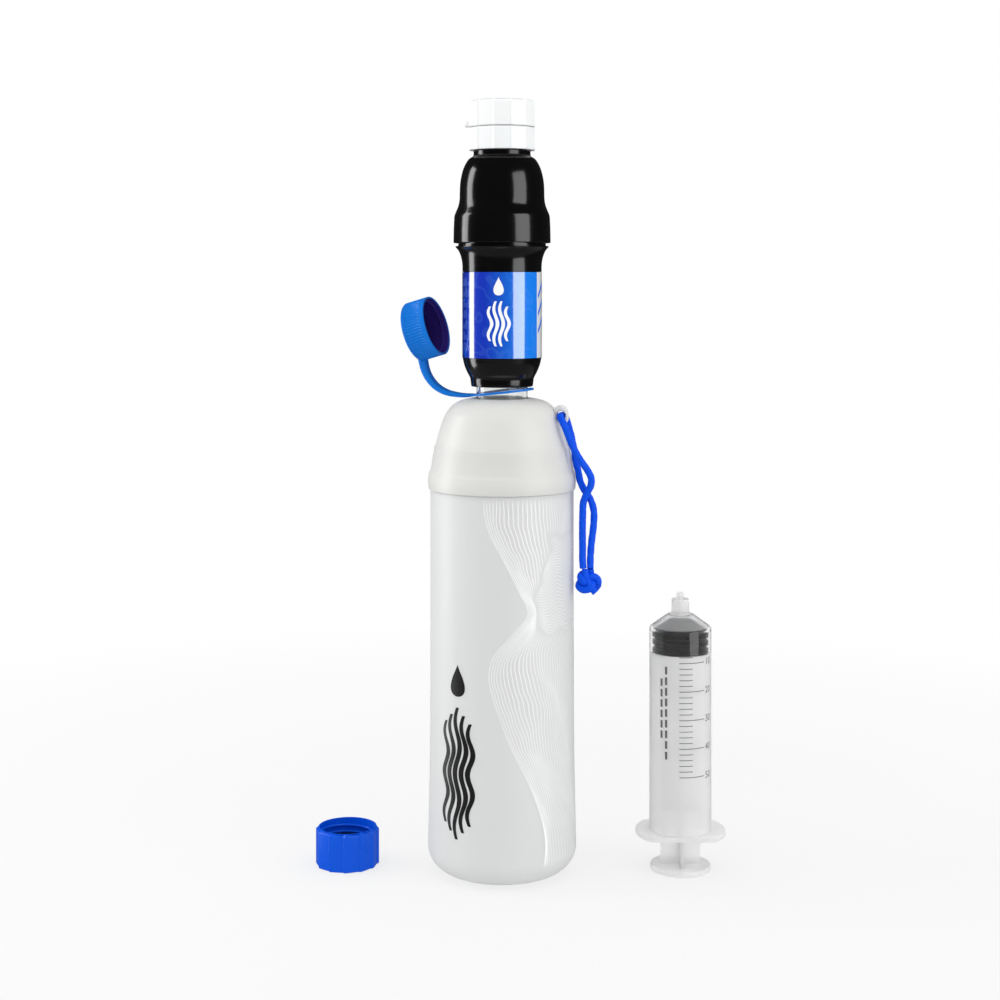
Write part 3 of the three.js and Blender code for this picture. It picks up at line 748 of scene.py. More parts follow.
# ---------------------------------------------------------------- lanyard
CORD_DIAMETER = 3.4
BRAID_PITCH = 5.2
FRONT_STRAND = [
    (29.7, -0.2, 221.4), (29.7, -2.4, 221.4), (30.3, -4.8, 220.8), (31.8, -6.6, 219), (33.4, -7.2, 216),
    (34.8, -6.9, 212.3), (36.2, -6, 208.4), (38, -5, 204.2), (40.2, -4, 200.2), (43, -3, 196),
    (44.9, -2.3, 191.8), (44.6, -2, 188), (42.6, -2, 184.2), (41, -1.9, 180), (40.6, -1.6, 174),
    (40.4, -1.3, 166), (40.4, -1, 158), (40.4, -1, 152), (40.7, -0.9, 148.2),
]
REAR_STRAND = [
    (29.7, 0.2, 221.4), (29.7, 2.4, 221.4), (30.2, 4.8, 220.8), (30.9, 6.4, 219), (31.6, 6.8, 216.2),
    (33, 6, 212.2), (34.2, 5, 208), (35.3, 4, 203.5), (36.1, 3, 199), (37.5, 2.4, 194.6), (38.5, 2, 190),
    (40.6, 1.9, 185.6), (43.7, 1.8, 181), (45.3, 1.6, 176), (45.4, 1.3, 169.8), (44.3, 1, 160),
    (43.8, 0.9, 152.6), (43.8, 0.9, 148.2),
]
EYE_AT = (29.7, 0, 221.4)
KNOT_AT = (42.8, 0, 141.4)
to_lug = Matrix.Rotation(LUG_AZIMUTH, 4, "Z")


def braid_radius(along, angle):
    """Diamond crowns of a round braid."""
    turn = 2 * math.pi * along / BRAID_PITCH
    one = math.cos(4 * angle + turn)
    other = math.cos(4 * angle - turn)
    return CORD_DIAMETER / 2 - 0.09 + 0.1 * max(one, other)


def length_of(line):
    return sum((b - a).length for a, b in zip(line, line[1:]))


def make_strand(name, points, node):
    line = [to_lug @ p for p in smooth_line(points, 14)]
    piece = tube(name, line, braid_radius, 32, crease=180)
    dress(piece, braid, "shoulder", "blue_cord", node)
    return piece, [p * MM for p in line]


front, front_line = make_strand("lanyard_front_braid", FRONT_STRAND, "lanyard_strand_front")
rear, rear_line = make_strand("lanyard_rear_braid", REAR_STRAND, "lanyard_strand_rear")


def make_knot():
    """An overhand knot in the doubled cord, drawn tight."""
    steps = 220
    line = []
    for i in range(steps):
        t = 2 * math.pi * i / steps
        ring = 2.75 + 1.55 * math.cos(3 * t)
        line.append(Vector((ring * math.cos(2 * t), ring * math.sin(2 * t), 1.9 * math.sin(3 * t))))
    knot = tube("knot", line, lambda a, b: braid_radius(a, b) + 0.12, 28, closed=True, crease=180)
    move(knot, Matrix.Rotation(math.radians(64), 4, "X") @ Matrix.Rotation(math.radians(20), 4, "Y"))
    move(knot, Matrix.Diagonal((1.12, 0.98, 1.02, 1)))
    tails = []
    for k, tail in enumerate((
        [(-1.2, -0.6, 6.4), (-0.8, -1.4, 3.2), (0.6, -2, 0.4), (2.2, -2.2, -2.2), (4.3, -2.2, -4.6)],
        [(1.0, 0.8, 6.4), (1.0, 1.8, 3.2), (0.2, 2.6, 0), (-1.2, 2.6, -2.4), (-2.4, 1.8, -4.4)],
    )):
        tails.append(tube(f"tail_{k}", smooth_line(tail, 10), braid_radius, 24, crease=180))
    whole = join("lanyard_knot_braid", knot, *tails)
    move(whole, to_lug @ shift(*(c * MM for c in KNOT_AT)))
    return dress(whole, braid, "shoulder", "blue_cord", "lanyard_knot")


knot = make_knot()
for strand, line, extra in ((front, front_line, [knot]), (rear, rear_line, [])):
    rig.cord(
        strand, exit=line[0], length=length_of(line), diameter=CORD_DIAMETER * MM, far_end="knot",
        stiffness="limp", lay="hanging", path=line[::4] + [line[-1]], with_pieces=extra,
    )


# ---------------------------------------------------------------- bottle
def base_corner(base=22.0, foot=36.1, height=12.5, steps=12):
    turns = [math.pi / 2 * k / steps for k in range(steps + 1)]
    return [(base + (foot - base) * math.sin(t), height * (1 - math.cos(t))) for t in turns]


DOME_BORE = 33
BOTTLE_WALL = filleted([
    *base_corner(), (35.8, 26, 8), (35.1, 60, 25), (34.9, 130, 25), (34.9, RIM - 0.2),
], closed=False)


def bottle_radius(z):
    """The bottle's outer radius at a height."""
    for below, above in zip(BOTTLE_WALL, BOTTLE_WALL[1:]):
        if below.y <= z <= above.y:
            return below.x + (above.x - below.x) * (z - below.y) / max(above.y - below.y, 1e-6)
    return BOTTLE_WALL[-1].x


def make_bottle():
    top = BOTTLE_WALL[-1].x
    shell = revolve("shell", [
        (0, 0), (13, 0), *BOTTLE_WALL, (top - 0.6, RIM - 0.2), (top - 0.6, 186.6), (31, 187),
        (31, MOUTH, 0.6), (29.3, MOUTH, 0.6), (29.3, 184.5, 2), (33.6, 180, 3), (33.6, 130, 20),
        (33.8, 60, 20), (34.7, 14, 8), (30, 4, 4), (21, 2.2, 2), (0, 2.2),
    ])
    ridge = thread("bottle_thread", 31.35, 192, 1.25, BOTTLE_LEAD, BOTTLE_BEAD)
    piece = join("bottle_skin", shell, ridge)
    return dress(piece, bottle_skin, "bottle", "frosted_plastic", "bottle_body", "bottle_mouth")


def make_dome():
    throat = NECK_ROOT + GAP
    ledge = MOUTH + 2.1
    dome = revolve("dome", [
        (35.8, RIM, 0.5), (36.1, 189.3, 1.5), (35.75, 193.1, 0.5), (34.95, 194.4, 0.7),
        (33.75, 201.1, 4), (32.95, 206.1, 0.3), (32.6, 206.6, 0.3), (31.1, 211.8, 4), (29.3, 217.8, 5),
        (26.9, 223.2, 5), (22.4, 227.7, 4), (15.8, DOME_TOP, 3), (throat, DOME_TOP, 0.4),
        (throat, DOME_TOP - 2.2), (17.3, DOME_TOP - 2.2), (20.8, DOME_TOP - 4, 2), (24.8, 222, 3),
        (27.2, 216.8, 3), (28.4, ledge + 3, 1), (28.4, ledge), (31.9, ledge, 0.5),
        (DOME_BORE, ledge - 5.6, 1), (DOME_BORE, 187.2), (35.1, 187.2), (35.1, RIM, 0.3),
    ], closed=True)
    ridge = thread("dome_thread", DOME_BORE - 0.8 + 0.35, 190, 1.25, BOTTLE_LEAD, BOTTLE_BEAD)
    piece = join("dome_skin", dome, ridge, make_lug())
    return dress(piece, dome_skin, "shoulder", "frosted_plastic", "bottle_shoulder")


def make_lug():
    """A rounded fin with an eye, built round the eye's own axis."""
    eye, thickness = 2.3, 3.2

    def reach(angle, r, z):
        if r < 3:
            return r
        outward, upward = math.cos(angle), math.sin(angle)
        towards_dome = max(0.0, -outward)
        low_side = max(0.0, -upward)
        limit = 3.5 + 1.1 * towards_dome + 2.6 * low_side * max(0.0, 0.35 + 0.65 * towards_dome)
        limit += 1.5 * max(0.0, upward) ** 3
        return limit - (4 - r)

    half = thickness / 2
    plate = revolve("lug", [
        (eye, -half + 0.4, 0.4), (eye + 0.4, -half, 0.4), (3.4, -half, 0.3), (4, -half + 0.6, 0.5),
        (4, half - 0.6, 0.5), (3.4, half, 0.3), (eye + 0.4, half, 0.4), (eye, half - 0.4, 0.4),
    ], 64, closed=True, ripple=reach)
    move(plate, Matrix.Rotation(math.pi / 2, 4, "X"))
    return move(plate, to_lug @ shift(*(c * MM for c in EYE_AT)))


def make_neck():
    flange = DOME_TOP - 2.5
    tube_part = revolve("neck", [
        (10.85, flange - 2), (17, flange - 2, 0.3), (17, flange, 0.3), (NECK_ROOT, flange),
        (NECK_ROOT, NECK_TOP, 0.5), (10.85, NECK_TOP, 0.5),
    ], closed=True)
    ridge = thread("neck_thread", NECK_ROOT + 0.3, INLET + 3.6, 1.75)
    piece = join("neck_skin", tube_part, ridge)
    return dress(piece, neck_clear, "shoulder", "clear_plastic", "neck_insert")


make_bottle()
make_dome()
make_neck()


# ---------------------------------------------------------------- tethered cap
to_tether = Matrix.Rotation(TETHER_AZIMUTH, 4, "Z")
STRAP_LINE = [
    (16.05, 230.45), (19, 230.3), (24, 230.6), (29.5, 231.7), (34.6, 234.4), (38.4, 238.4), (40.5, 242.4),
    (41.55, 246.4),
]
STRAP_WIDTH, STRAP_THICK = (6.0, 3.4), (1.4, 5.0)   # at the ring, at the cap
STRAP_SIDES = 24
CAP_RADIUS, CAP_DEPTH = 14.9, 13.0
CAP_OUT, CAP_UP = 34.6, 264.5


def make_tether_ring():
    ring = revolve("tether_ring_skin", [
        (13.9, -0.55, 0.25), (15.55, -0.55, 0.3), (15.55, 0.55, 0.3), (13.9, 0.55, 0.25),
    ], closed=True)
    move(ring, Matrix.Rotation(math.radians(6.5), 4, "Y"))
    move(ring, to_tether @ shift(0, 0, 232.3 * MM))
    return dress(ring, azure, "tether", "azure_plastic", "tether_ring")


def make_strap():
    """A flat band with rounded edges that widens into the cap's wall."""
    first = [(14.9, 230.5), *STRAP_LINE, (41.9, 248.4)]
    line = smooth_line([(out, 0, up) for out, up in first], 8)
    frames = []
    for i, point in enumerate(line):
        ahead = line[min(i + 1, len(line) - 1)] - line[max(i - 1, 0)]
        ahead.normalize()
        frames.append((point, Vector((-ahead.z, 0, ahead.x))))
    section = []
    for k in range(STRAP_SIDES):
        angle = 2 * math.pi * k / STRAP_SIDES
        section.append([
            math.copysign(abs(part) ** 0.5, part) / 2 for part in (math.cos(angle), math.sin(angle))
        ])
    vertices, faces = [], []
    for i, (point, normal) in enumerate(frames):
        share = i / (len(frames) - 1)
        wide = STRAP_WIDTH[0] + (STRAP_WIDTH[1] - STRAP_WIDTH[0]) * max(0.0, share - 0.4) / 0.6
        thick = STRAP_THICK[0] + (STRAP_THICK[1] - STRAP_THICK[0]) * share ** 1.2
        for across, out in section:
            vertices.append(point + normal * out * thick + Vector((0, across * wide, 0)))
    tunnel(faces, len(frames), STRAP_SIDES)
    strap = add_object("tether_strap_skin", vertices, faces, 50)
    move(strap, to_tether)
    strap.data.materials.append(azure)
    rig.slot(strap, "azure_plastic")
    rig.replaces(strap, "tether_strap")
    start = to_tether @ Vector((18 * MM, 0, 0.2305))
    end = to_tether @ Vector((41.0 * MM, 0, 0.2445))
    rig.blend(strap, "tether", "neck_cap", start=start, end=end)
    return strap


def lean_cap(piece):
    """Stands a cap drawn with its closed end down beside the filter, its mouth towards the neck."""
    tilt = Matrix.Rotation(math.radians(16 - 90), 4, "Y")
    move(piece, tilt @ shift(0, 0, -CAP_DEPTH * MM))
    return move(piece, to_tether @ shift(CAP_OUT * MM, 0, CAP_UP * MM))


def make_tether_cap():
    def ribs(angle, r, z):
        if r < CAP_RADIUS - 0.05 or not 1.3 < z < CAP_DEPTH - 2.6:
            return r
        return r - 0.42 * (0.5 - 0.5 * math.cos(64 * angle))

    shell = revolve("cap", [
        (0, 0), (CAP_RADIUS - 1.6, 0, 0.4), (CAP_RADIUS - 0.45, 0.5, 0.6), (CAP_RADIUS, 1.25),
        (CAP_RADIUS, 1.5), (CAP_RADIUS, CAP_DEPTH - 2.7), (CAP_RADIUS, CAP_DEPTH - 2.5),
        (CAP_RADIUS, CAP_DEPTH, 0.3), (CAP_RADIUS - 1, CAP_DEPTH, 0.3), (CAP_RADIUS - 1, 1.6, 0.5),
        (0, 1.6),
    ], 512, ripple=ribs, crease=55)
    ridge = thread("cap_thread", CAP_RADIUS - 1 - 0.45, CAP_DEPTH - 5.4, 1.2)
    piece = join("tether_cap_skin", shell, ridge)
    # marks the cap's inner wall and floor, where the azure material paints shade
    inside = piece.data.attributes.new("inside", "FLOAT", "POINT")
    for vertex, value in zip(piece.data.vertices, inside.data):
        reach = math.hypot(vertex.co.x, vertex.co.y) / MM
        value.value = float(reach < CAP_RADIUS - 0.6 and 1 < vertex.co.z / MM < CAP_DEPTH - 0.2)
    lean_cap(piece)
    dress(piece, azure, "neck_cap", "azure_plastic", "tether_cap")
    liner = revolve("tether_cap_liner_skin", [
        (0, 1.7), (13.35, 1.7), (13.35, 2.9, 0.3), (11.2, 2.9, 0.2), (10.8, 2.6, 0.2), (0, 2.6),
    ], MEDIUM)
    lean_cap(liner)
    # the liner wears the painted shade colour of the cap's inside
    return dress(liner, cap_inside_shade, "neck_cap", "black_rubber", "tether_cap_liner")


make_tether_ring()
make_strap()
make_tether_cap()


# ---------------------------------------------------------------- filter
def make_lower_housing():
    seat = LABEL_RADIUS - 0.35 - 0.2
    ceiling = NECK_TOP + 2.1
    casing = revolve("lower_casing", [
        (15.0, INLET, 0.4), (15.35, INLET + 2.6, 1), (15.5, INLET + 4.2, 1.2),
        (17.0, INLET + 6.8, 2.2), (18.5, INLET + 10.4, 3), (19.15, LABEL_LOW - 0.7, 1),
        (19.3, LABEL_LOW - 0.15, 0.1), (seat, LABEL_LOW - 0.15), (seat, LABEL_HIGH + 0.15),
        (19.35, LABEL_HIGH + 0.15, 0.1), (19.3, 293, 1), (19.45, 295.7, 3), (20.1, 298.7, 3),
        (21.2, 301.4, 2), (22.7, 303.0, 0.5), (22.7, 303.5, 0.2), (21.4, 303.5), (21.4, 304.7),
        (19.3, 304.7), (19.3, 309), (18.1, 309), (18.1, 311.4), (19.3, 311.4), (19.3, SPIGOT_TOP, 0.5),
        (17.2, SPIGOT_TOP, 0.5), (17.2, ceiling + 1.8), (7.5, ceiling + 1.8, 0.3), (7.5, ceiling, 0.3),
        (SOCKET_BORE, ceiling), (SOCKET_BORE, INLET, 0.5),
    ], closed=True, crease=30)
    ridge = thread("inlet_thread", SOCKET_BORE - BEAD + 0.3, INLET + 2, 1.75)
    piece = join("lower_housing_skin", casing, ridge)
    return dress(piece, black_gloss, "filter", "black_plastic", "lower_housing")


def make_upper_housing():
    casing = revolve("upper_casing", [
        (23.7, COLLAR, 0.5), (23.6, 312, 2), (23.3, 318.3, 1.2), (22.5, 320.2, 1.5), (21.3, 323.0, 2),
        (20.7, 326, 2), (20.6, 333, 3), (20.1, 336.7, 3), (19.3, 340.2, 3), (18, 343.4, 2.5),
        (16.3, 346, 1), (14.2, 347.2, 0.4), (13.9, 347.8, 0.3), (13.9, 349.9, 0.3), (NECK_ROOT, 349.9),
        (NECK_ROOT, OUTLET_TOP, 0.4), (9.5, OUTLET_TOP, 0.4), (9.5, 345.4, 1), (14.4, 343, 2),
        (17, 338.6, 2), (17.9, 333, 2), (17.9, 318), (19.6, 318), (19.6, COLLAR, 0.3),
    ], closed=True, crease=30)
    ridge = thread("outlet_thread", NECK_ROOT + 0.3, SPOUT_LOW + 3.2, 1)
    piece = join("upper_housing_skin", casing, ridge)
    return dress(piece, black_gloss, "filter", "black_plastic", "upper_housing", "outlet_neck")


def droplet(cx, cy, size, steps=28):
    """A plain water drop, point up."""
    points = []
    for k in range(steps):
        t = 2 * math.pi * k / steps
        reach = math.sin(t / 2) ** 1.6
        points.append((cx + size * 0.78 * math.sin(t) * reach * 1.05, cy + size * 0.1 + size * math.cos(t)))
    return points


def wave(cx, cy, width, thick, rise, steps=26, cycles=1.5):
    """One wavy stroke with a steady thickness and tapered ends."""
    upper, lower = [], []
    for k in range(steps + 1):
        t = k / steps
        x = cx + width * (t - 0.5)
        y = cy + rise * math.sin(2 * math.pi * cycles * t)
        half = thick / 2 * math.sin(math.pi * (0.12 + 0.76 * t)) ** 0.5
        upper.append((x, y + half))
        lower.append((x, y - half))
    return upper + lower[::-1]


def bar(x0, y0, x1, y1):
    return [(x0, y0), (x1, y0), (x1, y1), (x0, y1)]


def turned_marks(outlines):
    """Lays marks drawn along +X so that they read up the wall."""
    return [[(-y, x) for x, y in outline] for outline in outlines]


def make_label():
    film = revolve("filter_label_skin", [
        (LABEL_RADIUS - 0.3, LABEL_LOW), (LABEL_RADIUS, LABEL_LOW, 0.1), (LABEL_RADIUS, LABEL_HIGH, 0.1),
        (LABEL_RADIUS - 0.3, LABEL_HIGH),
    ], closed=True)
    dress(film, label_film, "filter", "label_film", "filter_label")
    skin = LABEL_RADIUS + 0.04
    middle = (LABEL_LOW + LABEL_HIGH) / 2
    marks = [[(middle + 13.5 + y, -x) for x, y in droplet(0, 0, 4.4)]]
    for k in range(4):
        marks.append(wave(middle - 4, -4.2 + 2.8 * k, 24 - 5 * abs(k - 1.5), 1.7, 0.9))
    print_piece = flat_patch("label_mark", turned_marks(marks), round_wall(skin, -5), 0.8)
    dress(print_piece, ink_white, "filter", "label_film")
    chevrons = []
    for k in range(3):
        y = LABEL_HIGH - 4 - 8.5 * k
        edge = [(-5.6, y - 6.5), (0, y), (5.6, y - 6.5)]
        chevrons.append(edge + [(5.6, y - 8.9), (0, y - 2.4), (-5.6, y - 8.9)])
    flow = flat_patch("label_chevrons", chevrons, round_wall(skin, 80), 0.8)
    dress(flow, label_blue, "filter", "label_film")
    fine = []
    for column in range(4):
        x = -4.2 + 2.4 * column
        for k in range(7):
            y = LABEL_LOW + 3.5 + 5.2 * k
            fine.append(bar(x, y, x + 0.45, y + (3.9 if (k + column) % 3 else 2.4)))
    rules = flat_patch("label_rules", fine, round_wall(skin, -66), 0.8)
    return dress(rules, label_pale, "filter", "label_film")


make_lower_housing()
make_upper_housing()
make_label()


# ---------------------------------------------------------------- spout
def flutes(depth, count=12, base=COVER_RADIUS):
    """Broad shallow flutes between narrow ridges."""
    def reach(angle, r, z):
        if r < base - 0.9:
            return r
        wave_at = abs(math.cos(count * angle / 2)) ** 0.35
        return r - depth * wave_at
    return reach


def make_spout_cap():
    cap = revolve("spout_shell", [
        (SOCKET_BORE, SPOUT_LOW), (COVER_RADIUS - 0.2, SPOUT_LOW, 0.2),
        (COVER_RADIUS, SPOUT_LOW + 0.6, 0.3), (COVER_RADIUS, SPOUT_HIGH - 0.7, 0.3),
        (COVER_RADIUS - 0.7, SPOUT_HIGH, 0.3), (14.9, SPOUT_HIGH), (14.9, SPOUT_HIGH + 1.5, 0.3),
        (13.4, SPOUT_HIGH + 1.5, 0.3), (13.4, SPOUT_HIGH, 0.3), (5, SPOUT_HIGH, 0.4),
        (5, SPOUT_HIGH + 5.8, 0.4), (3.6, SPOUT_HIGH + 5.8, 0.2), (3.6, SPOUT_HIGH - 1.9),
        (SOCKET_BORE, SPOUT_HIGH - 1.9),
    ], 360, closed=True, ripple=flutes(0.62), crease=32)
    pin = revolve("spout_pin", [
        (0, SPOUT_HIGH - 1), (2, SPOUT_HIGH - 1), (2, SPOUT_HIGH + 7.8, 0.4), (0, SPOUT_HIGH + 7.8),
    ], 48)
    web = boxed("spout_web", (9, 1.2, 2), (0, 0, SPOUT_HIGH + 1), 0.2)
    ridge = thread("spout_thread", SOCKET_BORE - BEAD + 0.3, SPOUT_LOW + 1.6, 1)
    piece = join("spout_cap_skin", cap, pin, web, ridge)
    return dress(piece, white_satin, "spout", "white_plastic", "spout_cap")


def make_nozzle():
    start = SPOUT_HIGH + GAP
    piece = revolve("spout_nozzle_skin", [
        (5.3, start, 0.2), (8.6, start, 0.3), (8.6, start + 1.1, 0.4), (7.4, start + 2, 0.8),
        (6.9, start + 5.0, 1.2), (5.6, start + 7.4, 0.8), (2.4, start + 7.4, 0.3), (2.4, start + 5.8),
        (5.3, start + 5.8),
    ], MEDIUM, closed=True)
    return dress(piece, white_satin, "nozzle", "white_plastic", "spout_nozzle")


def make_dust_cap():
    shell = revolve("dust_cap", [
        (15.2, COVER_LOW, 0.2), (COVER_RADIUS - 0.2, COVER_LOW, 0.2), (COVER_RADIUS, COVER_LOW + 0.5, 0.3),
        (COVER_RADIUS, COVER_HIGH - 1.6, 0.5), (COVER_RADIUS - 0.6, COVER_HIGH - 0.5, 0.5),
        (COVER_RADIUS - 1.7, COVER_HIGH, 0.4), (13.6, COVER_HIGH, 0.2), (13.2, COVER_HIGH - 0.25, 0.2),
        (0, COVER_HIGH - 0.25), (0, COVER_HIGH - 1.4), (15.2, COVER_HIGH - 1.4, 0.5),
    ], 360, ripple=flutes(0.62), crease=32)
    tab = boxed("thumb_tab", (3.4, 8.4, 2.2), (-16.5, 0, COVER_LOW + 1.2), 0.7)
    return dress(join("dust_cap_skin", shell, tab), white_satin, "cover", "white_plastic", "dust_cap")


make_spout_cap()
make_nozzle()
make_dust_cap()


# ---------------------------------------------------------------- cleaning plunger
to_barrel = shift(BARREL_AT.x, BARREL_AT.y)
BARREL_RADIUS, BARREL_BORE = 15.0, 13.8
SHOULDER_AT = 117.8
TIP_ROOT = 124.3
SEAL_TOP = high("plunger_seal")
SEAL_LOW = low("plunger_seal")


def make_barrel():
    tube_part = revolve("barrel", [
        (BARREL_BORE, SEAL_LOW), (BARREL_BORE, BARREL_LOW, 0.3), (BARREL_RADIUS, BARREL_LOW, 0.2),
        (BARREL_RADIUS, SEAL_LOW), (BARREL_RADIUS, SHOULDER_AT, 0.9), (6, TIP_ROOT, 1), (4.3, 124.6, 0.3),
        (4.15, 131.6, 0.4), (3.1, 131.6, 0.3), (3.1, 126), (2.15, 126, 0.3), (1.75, BARREL_TIP, 0.3),
        (1, BARREL_TIP, 0.2), (1, 123.2), (5.4, 122.8, 0.5), (BARREL_BORE, SHOULDER_AT - 1, 1),
    ], closed=True)
    half, depth = 21.8, 15.8

    def oval(angle, r, z):
        if r < 20:
            return r
        limit = depth / max(abs(math.sin(angle)), 1e-6)
        return (r ** -14 + limit ** -14) ** (-1 / 14)

    wings = revolve("wings", [
        (14.4, BARREL_LOW, 0.2), (half, BARREL_LOW, 0.6), (half, BARREL_LOW + 2.4, 0.6),
        (14.4, BARREL_LOW + 2.4, 0.2),
    ], FINE, closed=True, ripple=oval)
    move(wings, to_barrel)
    wings.name = "barrel_wings"
    dress(wings, rod_clear, "barrel", "syringe_plastic")
    tube_part.name = "barrel_skin"
    dress(move(tube_part, to_barrel), barrel_clear, "barrel", "syringe_plastic", "syringe_barrel")
    tube_part.data.materials.append(barrel_milky)
    tube_part.data.materials.append(barrel_hazy)
    for face in tube_part.data.polygons:
        up = sum(tube_part.data.vertices[v].co.z for v in face.vertices) / len(face.vertices) / MM
        if up < SEAL_LOW + 0.5 or up > TIP_ROOT:
            face.material_index = 1
        elif up > SHOULDER_AT + 0.5:
            face.material_index = 2
    return tube_part


def make_rod():
    foot = revolve("thumb_disc", [(0, 0), (14.6, 0, 0.6), (14.6, 2.6, 0.6), (0, 2.6)], MEDIUM)
    rib_top = SEAL_LOW - GAP
    tall = rib_top - 2.3
    ribs = [
        boxed("rib_a", (19.2, 1.7, tall), (0, 0, 2.3 + tall / 2), 0.3),
        boxed("rib_b", (1.7, 19.2, tall), (0, 0, 2.3 + tall / 2), 0.3),
    ]
    for k, at in enumerate((30, 58, 86)):
        ribs.append(revolve(f"rod_web_{k}", [
            (0, at), (9.2, at, 0.3), (9.2, at + 1, 0.3), (0, at + 1),
        ], 64))
    collar = revolve("rod_collar", [
        (0, rib_top - 2), (12.8, rib_top - 2, 0.3), (12.8, rib_top, 0.3), (4, rib_top),
        (4, SHOULDER_AT - 4.4, 0.4), (0, SHOULDER_AT - 4.4),
    ], 64)
    piece = move(join("plunger_skin", foot, *ribs, collar), to_barrel)
    return dress(piece, rod_clear, "plunger", "syringe_plastic", "plunger_rod")


def make_seal():
    big = BARREL_BORE - 0.12
    valley = big - 1.1
    rod_end = SHOULDER_AT - 4
    piece = revolve("plunger_seal_skin", [
        (4.3, SEAL_LOW), (big, SEAL_LOW, 0.3), (big, SEAL_LOW + 1.8, 0.3), (valley, SEAL_LOW + 2.3, 0.3),
        (valley, SEAL_LOW + 3.6, 0.3), (big, SEAL_LOW + 4.1, 0.3), (big, SEAL_LOW + 5.6, 0.3),
        (valley, SEAL_LOW + 6.1, 0.3), (valley, SEAL_LOW + 7.2, 0.3), (big, SEAL_LOW + 7.7, 0.3),
        (big, SHOULDER_AT - 1.6, 0.4), (5, SEAL_TOP, 0.6), (0, SEAL_TOP), (0, rod_end), (4.3, rod_end),
    ], MEDIUM, closed=False)
    move(piece, to_barrel)
    return dress(piece, rubber, "plunger", "black_rubber", "plunger_seal")


def make_scale():
    """Graduations every two millilitres, numbered every ten."""
    per_ten, top = 13.7, 103.0
    wrap = round_wall(BARREL_RADIUS + 0.05, 0.0, (BARREL_AT.x / MM, BARREL_AT.y / MM))
    ticks = []
    for k in range(-1, 21):
        y = top - per_ten * k / 5
        wide = 13.4 if k % 5 == 0 else 6.6
        ticks.append(bar(-2.0, y - 0.17, -2.0 + wide, y + 0.17))
    lines = flat_patch("barrel_scale", ticks, wrap)
    dress(lines, ink_grey, "barrel", "syringe_plastic")
    for k in range(5):
        curve = bpy.data.curves.new(f"number_{k}", "FONT")
        curve.body = str(10 * (k + 1))
        curve.size = 4.6
        curve.align_x = "LEFT"
        curve.align_y = "CENTER"
        curve.resolution_u = 3
        text = linked(f"number_{k}", curve)
        bpy.context.view_layer.update()
        mesh = bpy.data.meshes.new_from_object(text)
        bpy.data.objects.remove(text)
        for vertex in mesh.vertices:
            vertex.co = Vector(wrap(vertex.co.x + 12.2, vertex.co.y + top - per_ten * k)) * MM
        dress(linked(f"barrel_number_{10 * (k + 1)}", mesh), ink_grey, "barrel", "syringe_plastic")
    rules = []
    for column, (tall, count) in enumerate(((46, 9), (30, 6))):
        for k in range(count):
            y = 101 - column * 6 - k * tall / count
            rules.append(bar(-9.2 - 2.6 * column, y - tall / count * 0.72, -8.0 - 2.6 * column, y))
    marks = flat_patch("barrel_marks", rules, wrap)
    return dress(marks, ink_grey, "barrel", "syringe_plastic")


make_barrel()
make_rod()
make_seal()
make_scale()


# ---------------------------------------------------------------- cleaning coupling
def make_coupling():
    radius, ridge_depth, flats = 15.5, 0.7, 12
    bore = SOCKET_BORE - 0.4
    middle = COUPLING_HIGH / 2

    def steps(angle, r, z):
        if r < radius - 1.2:
            return r
        share = (angle * flats / (2 * math.pi)) % 1
        flat_half = math.pi / flats
        chord = math.cos(flat_half) / math.cos((share - 0.5) * 2 * flat_half)
        ridge = ridge_depth * min(1.0, share / 0.86) if share < 0.86 else ridge_depth * (1 - share) / 0.14
        return (r - ridge) * (0.35 + 0.65 * chord)

    shell = revolve("coupling", [
        (bore, 0, 0.4), (radius - 0.4, 0, 0.3), (radius, 0.5, 0.3), (radius, COUPLING_HIGH - 1.2, 0.4),
        (radius - 1.1, COUPLING_HIGH - 0.3, 0.5), (radius - 1.4, COUPLING_HIGH, 0.3),
        (bore, COUPLING_HIGH, 0.4), (bore, middle + 0.8), (10, middle + 0.8, 0.2),
        (10, middle - 0.8, 0.2), (bore, middle - 0.8),
    ], 360, closed=True, ripple=steps, crease=22)
    beads = [
        thread("low_bead", bore - BEAD + 0.2, 1.4, 1.0),
        thread("high_bead", bore - BEAD + 0.2, COUPLING_HIGH - 1.6 - 2 * LEAD * 0.95, 1.9),
    ]
    piece = move(join("coupling_skin", shell, *beads), shift(COUPLING_AT.x, COUPLING_AT.y))
    dress(piece, royal, "coupling", "royal_plastic", "cleaning_coupling")
    low_at = low("coupling_washer")
    ring = revolve("coupling_washer_skin", [
        (9.4, low_at, 0.2), (12.2, low_at, 0.2), (12.2, low_at + 1.1, 0.3), (9.4, low_at + 1.1, 0.3),
    ], MEDIUM, closed=True)
    move(ring, shift(COUPLING_AT.x, COUPLING_AT.y))
    return dress(ring, rubber, "coupling", "black_rubber", "coupling_washer")


make_coupling()


# ---------------------------------------------------------------- bottle mark
def bottle_wall(azimuth):
    """Wraps (across, up) on the bottle's own curved wall."""
    def wrap(across, up):
        radius = bottle_radius(up) + 0.06
        angle = math.radians(azimuth) + across / radius
        return (radius * math.sin(angle), -radius * math.cos(angle), up)
    return wrap


def make_bottle_mark():
    """A tall plain column mark: one drop over a run of waves, in black."""
    base = 23.0
    marks = []
    drop = droplet(0, 0, 7.6)
    marks.append([(base + 74 + y, -x) for x, y in drop])
    for k in range(5):
        marks.append(wave(base + 31, -7.2 + 3.6 * k, 62 - 7 * abs(k - 2), 2.8, 1.4, 60, 2.5))
    piece = flat_patch("bottle_mark", turned_marks(marks), bottle_wall(-37), 1.0, 3.0)
    return dress(piece, ink_black, "bottle", "black_plastic")


